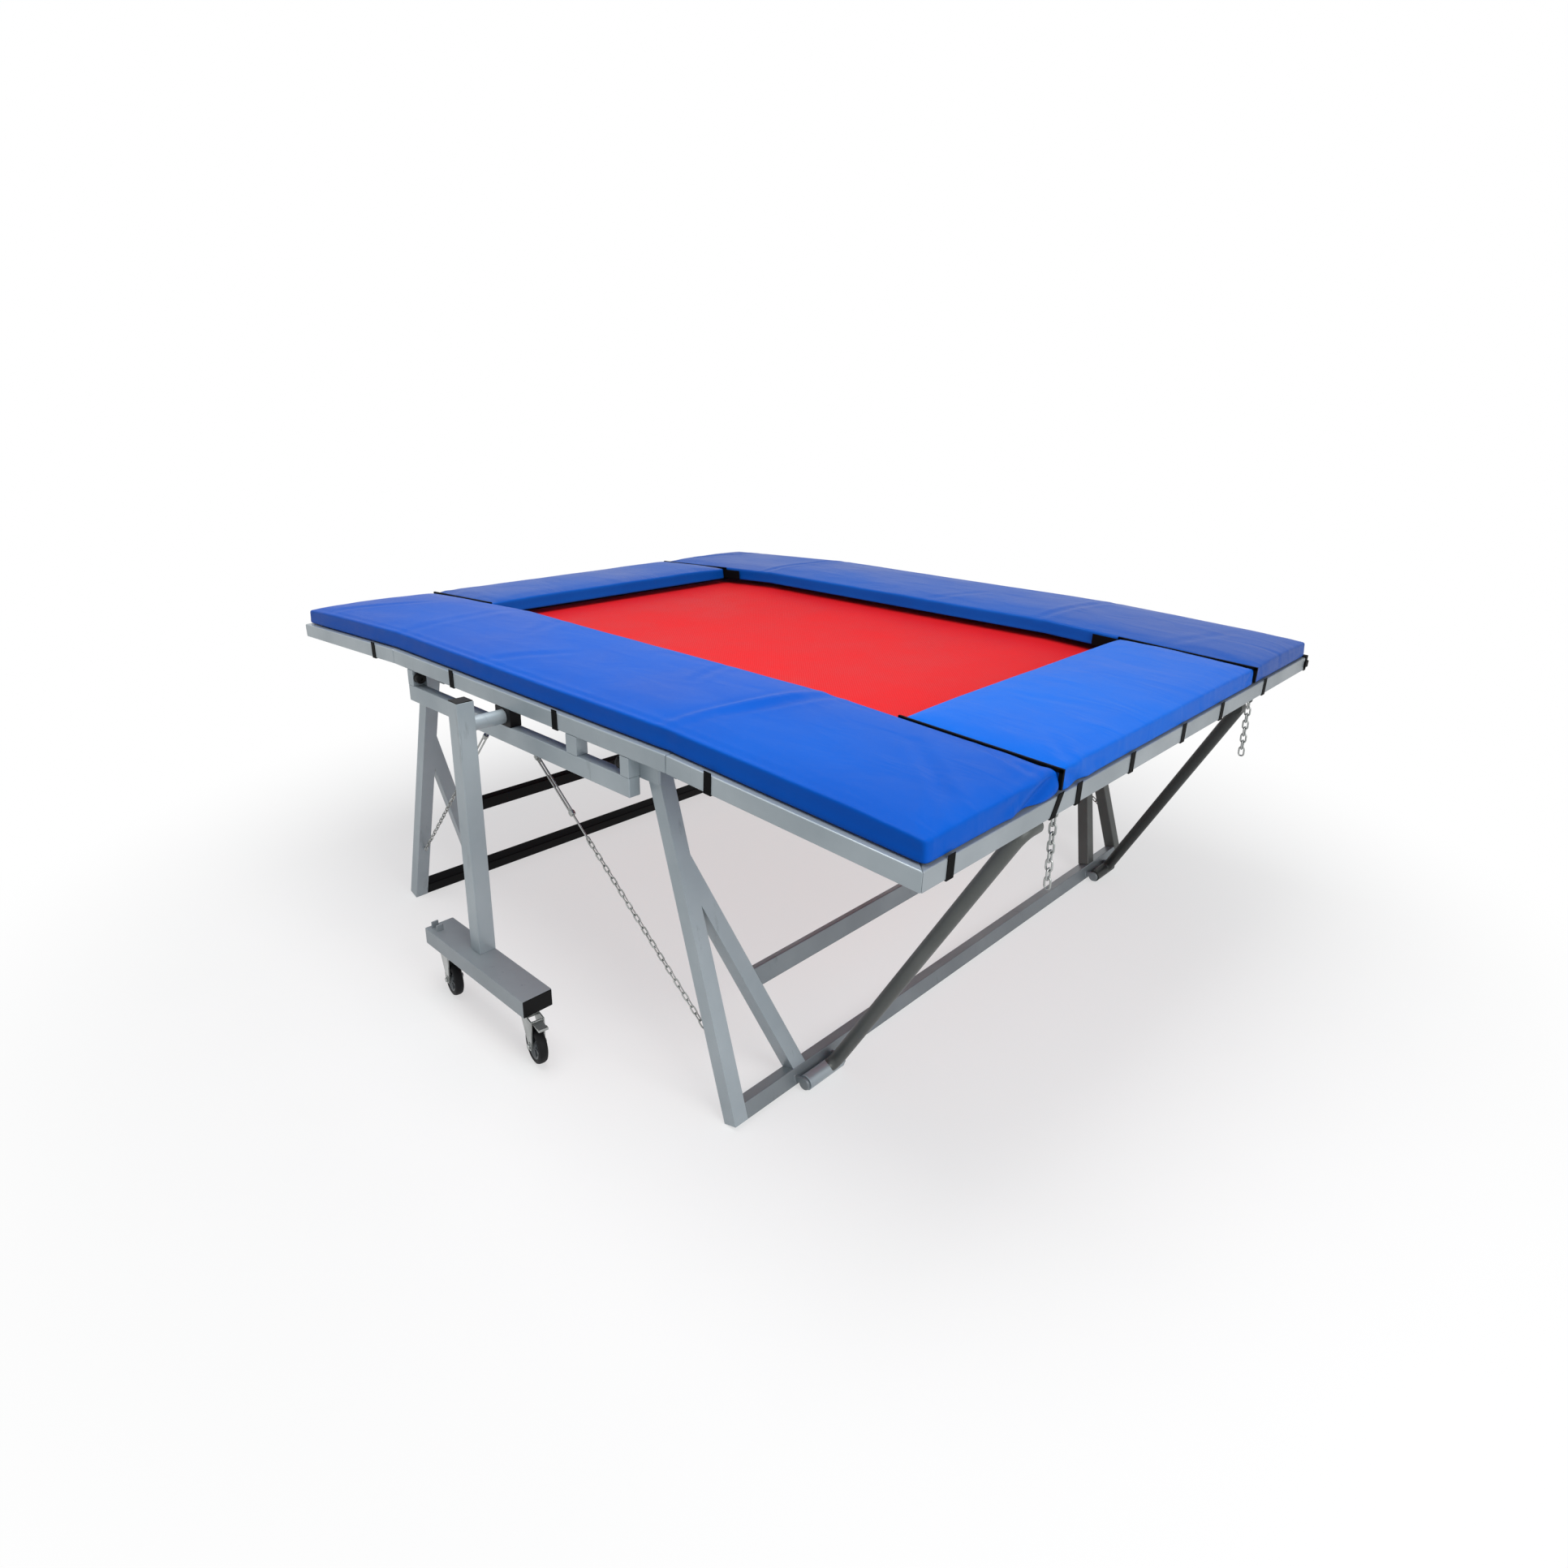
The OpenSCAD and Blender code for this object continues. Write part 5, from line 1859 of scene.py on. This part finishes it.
@dataclass
class Trims:
    """Black tapes in the seams between the pads and the flaps at their inner corners."""

    tape_half: float = 0.0045
    tape_low: float = 0.010
    tape_top: float = 0.0665
    tape_depth: float = 0.012
    tape_over: float = 0.0005
    tuck: float = 0.004
    flap_len: float = 0.11
    flap_top: float = 0.056
    flap_thick: float = 0.002
    rail_out: float = 0.8509
    tie_over: float = 0.0016

    def build(self) -> None:
        """Makes the tapes and flaps of both ends, and the right end's corner tie."""
        for end in End:
            boxes = self.seams()
            if end is End.RIGHT:
                boxes += self.tie()
            parts = []
            for low, high, bevel in boxes:
                xa, xb = sorted((end.value * low[0], end.value * high[0]))
                parts.append(Bench.block((xa, low[1], low[2]), (xb, high[1], high[2]), bevel, 2))
            tapes = Bench.place(Bench.join(parts, f"seam_tapes_{end.tag}"), PLAN.end_matrix(end.value))
            hold(tapes, f"end_{end.tag}", BLACK_WEB, "webbing")

    def seams(self) -> list[Box]:
        """Lowest corner, highest corner and rounding of each tape and flap, drawn from the fold axis.

        Returns:
            The boxes of one end.
        """
        inner, outer = PLAN.pad_end - PLAN.end_pad_w - self.tuck, PLAN.pad_end + self.tape_over
        low, top, back = self.tape_low, self.tape_top, inner + self.tuck
        boxes: list[Box] = []
        for side in Side:
            y = side.value * PLAN.pad_inner
            ya, yb = y - self.tape_half, y + self.tape_half
            flap = side.value * (PLAN.pad_inner - 0.0035)
            fa, fb = sorted((flap, flap + side.value * self.flap_thick))
            boxes += [
                ((inner, ya, top - self.tape_depth), (outer, yb, top), 0.0012),
                ((PLAN.pad_end - 0.012, ya, low), (outer, yb, top), 0.0008),
                ((inner, ya, low), (back + 0.016, yb, top), 0.0008),
                ((back - self.flap_len, fa, low), (back + 0.002, fb, self.flap_top), 0.0008),
            ]
        return boxes

    def tie(self) -> list[Box]:
        """The far rail corner's tie: over the top, down the front, and its buckle.

        Returns:
            Its three boxes.
        """
        x, y, over, drop = self.rail_out, PLAN.half_w, self.tie_over, PLAN.rail_h
        return [
            ((x - 0.045, y - 0.026, 0.0), (x + over, y + over, 0.006), 0.0006),
            ((x, y - 0.026, -drop - 0.001), (x + over, y + over, 0.005), 0.0006),
            ((x, y - 0.032, -0.040), (x + 0.007, y + 0.004, -0.014), 0.0015),
        ]


# ---------------------------------------------------------------- studio


@dataclass
class Studio:
    """Camera, lamps, floor and the plain white surround."""

    spot: Point = (2.6935, -2.8059, 2.0167)
    yaw: float = 0.7485
    pitch: float = 0.2917
    roll: float = -0.0131
    focal_px: float = 1179.15
    centre: Pair = (986.0, 854.4)
    frame_px: float = 1932.0
    fill: float = 0.33
    floor_radius: float = 30.0
    lamps: tuple[tuple[str, Point, Point, float, float], ...] = (
        ("key", (4.4, -1.5, 2.7), (0.3, 0, 0.8), 2.2, 78),
        ("overhead", (0.2, -1.0, 4.5), (0, 0, 1), 3.2, 140),
        ("side", (4.6, -0.9, 0.8), (0.6, -0.7, 0.6), 1.6, 5),
    )

    def camera(self) -> None:
        """Sets the camera by its place, turn, focal length and shift."""
        data = bpy.data.cameras.new("camera")
        data.sensor_fit = "HORIZONTAL"
        data.sensor_width = 36
        data.lens = self.focal_px / self.frame_px * 36
        data.shift_x = (self.frame_px / 2 - self.centre[0]) / self.frame_px
        data.shift_y = (self.centre[1] - self.frame_px / 2) / self.frame_px
        data.clip_end = 100
        flat = math.cos(self.pitch)
        ahead = Vector((-math.sin(self.yaw) * flat, math.cos(self.yaw) * flat, -math.sin(self.pitch)))
        level = Vector((math.cos(self.yaw), math.sin(self.yaw), 0))
        down = ahead.cross(level)
        c, s = math.cos(self.roll), math.sin(self.roll)
        right, down = c * level + s * down, -s * level + c * down
        turn = Matrix((right, -down, -ahead)).transposed().to_4x4()
        camera = self.stand("camera", data, Matrix.Translation(self.spot) @ turn)
        bpy.context.scene.camera = camera

    @staticmethod
    def stand(name: str, data: bpy.types.ID, matrix: Matrix) -> Obj:
        """Puts a camera or a lamp in its place.

        Args:
            name: name of the object.
            data: the camera or lamp.
            matrix: its placement.

        Returns:
            The new object.
        """
        obj = bpy.data.objects.new(name, data)
        bpy.context.scene.collection.objects.link(obj)
        obj.matrix_world = matrix
        return obj

    def lamp(self, name: str, spot: Point, target: Point, size: float, power: float) -> None:
        """Adds one square soft white lamp that faces a target.

        Args:
            name: name of the lamp.
            spot: where it is.
            target: where it faces.
            size: side of its square, in metres.
            power: power in watts.
        """
        data = bpy.data.lights.new(name, "AREA")
        data.size = size
        data.energy = power
        aim = (Vector(target) - Vector(spot)).to_track_quat("-Z", "Y").to_matrix().to_4x4()
        self.stand(name, data, Matrix.Translation(spot) @ aim)

    def surround(self) -> None:
        """A world that is white to the eye and in reflections, and a soft fill otherwise."""
        world = bpy.data.worlds.new("surround")
        bpy.context.scene.world = world
        world.use_nodes = True
        g = Graph(world.node_tree)
        white = g.add("Background", {"Color": (1, 1, 1, 1), "Strength": 1.0})
        fill = g.add("Background", {"Color": (0.94, 0.97, 1, 1), "Strength": self.fill})
        mix = g.add("MixShader", {0: g.seen(), 1: fill.outputs[0], 2: white.outputs[0]})
        g.add("OutputWorld", {"Surface": mix.outputs[0]})

    def floor(self) -> None:
        """A pale floor that holds the shadow and fades into the white surround."""
        Bench.clear()
        bpy.ops.mesh.primitive_circle_add(
            vertices=96, radius=self.floor_radius, fill_type="NGON", location=(0, 0, -0.0005)
        )
        floor = Bench.settle(Bench.name(bpy.context.active_object, "floor"))
        made = bpy.data.materials.new("pale_floor")
        made.use_nodes = True
        g = Graph(made.node_tree)
        place = g.add("TexCoord").outputs["Object"]
        grain = g.add("TexNoise", {"Vector": place, "Scale": 3.0, "Detail": 3.0})
        colour = g.mix(grain.outputs["Fac"], (0.86, 0.86, 0.86, 1), (0.9, 0.9, 0.9, 1))
        matt = g.add("BsdfDiffuse", {"Color": colour})
        away = g.add("VectorMath", {0: place}, operation="LENGTH")
        fade = g.remap(away.outputs["Value"], (1.6, 3.4), (0.58, 1.0), interpolation_type="SMOOTHSTEP")
        both = g.math("MULTIPLY", g.seen(), fade)
        glow = g.add("Emission", {"Color": (1, 1, 1, 1), "Strength": 1.0})
        mix = g.add("MixShader", {0: both, 1: matt.outputs[0], 2: glow.outputs[0]})
        g.add("OutputMaterial", {"Surface": mix.outputs[0]})
        floor.data.materials.append(made)

    def build(self) -> None:
        """Sets up the whole studio."""
        bpy.context.scene.view_settings.view_transform = "Standard"
        self.camera()
        self.surround()
        self.floor()
        for row in self.lamps:
            self.lamp(*row)


# ---------------------------------------------------------------- assembly


def main() -> None:
    """Builds the studio and every sub-assembly."""
    logging.basicConfig(level=logging.INFO, format="%(name)s %(message)s")
    makers = (Studio, Steelwork, Springs, Padding, JumpingBed, Chains, Struts, Stands, SlotBuffers, Trims)
    for maker in makers:
        maker().build()


if __name__ == "__main__":
    main()
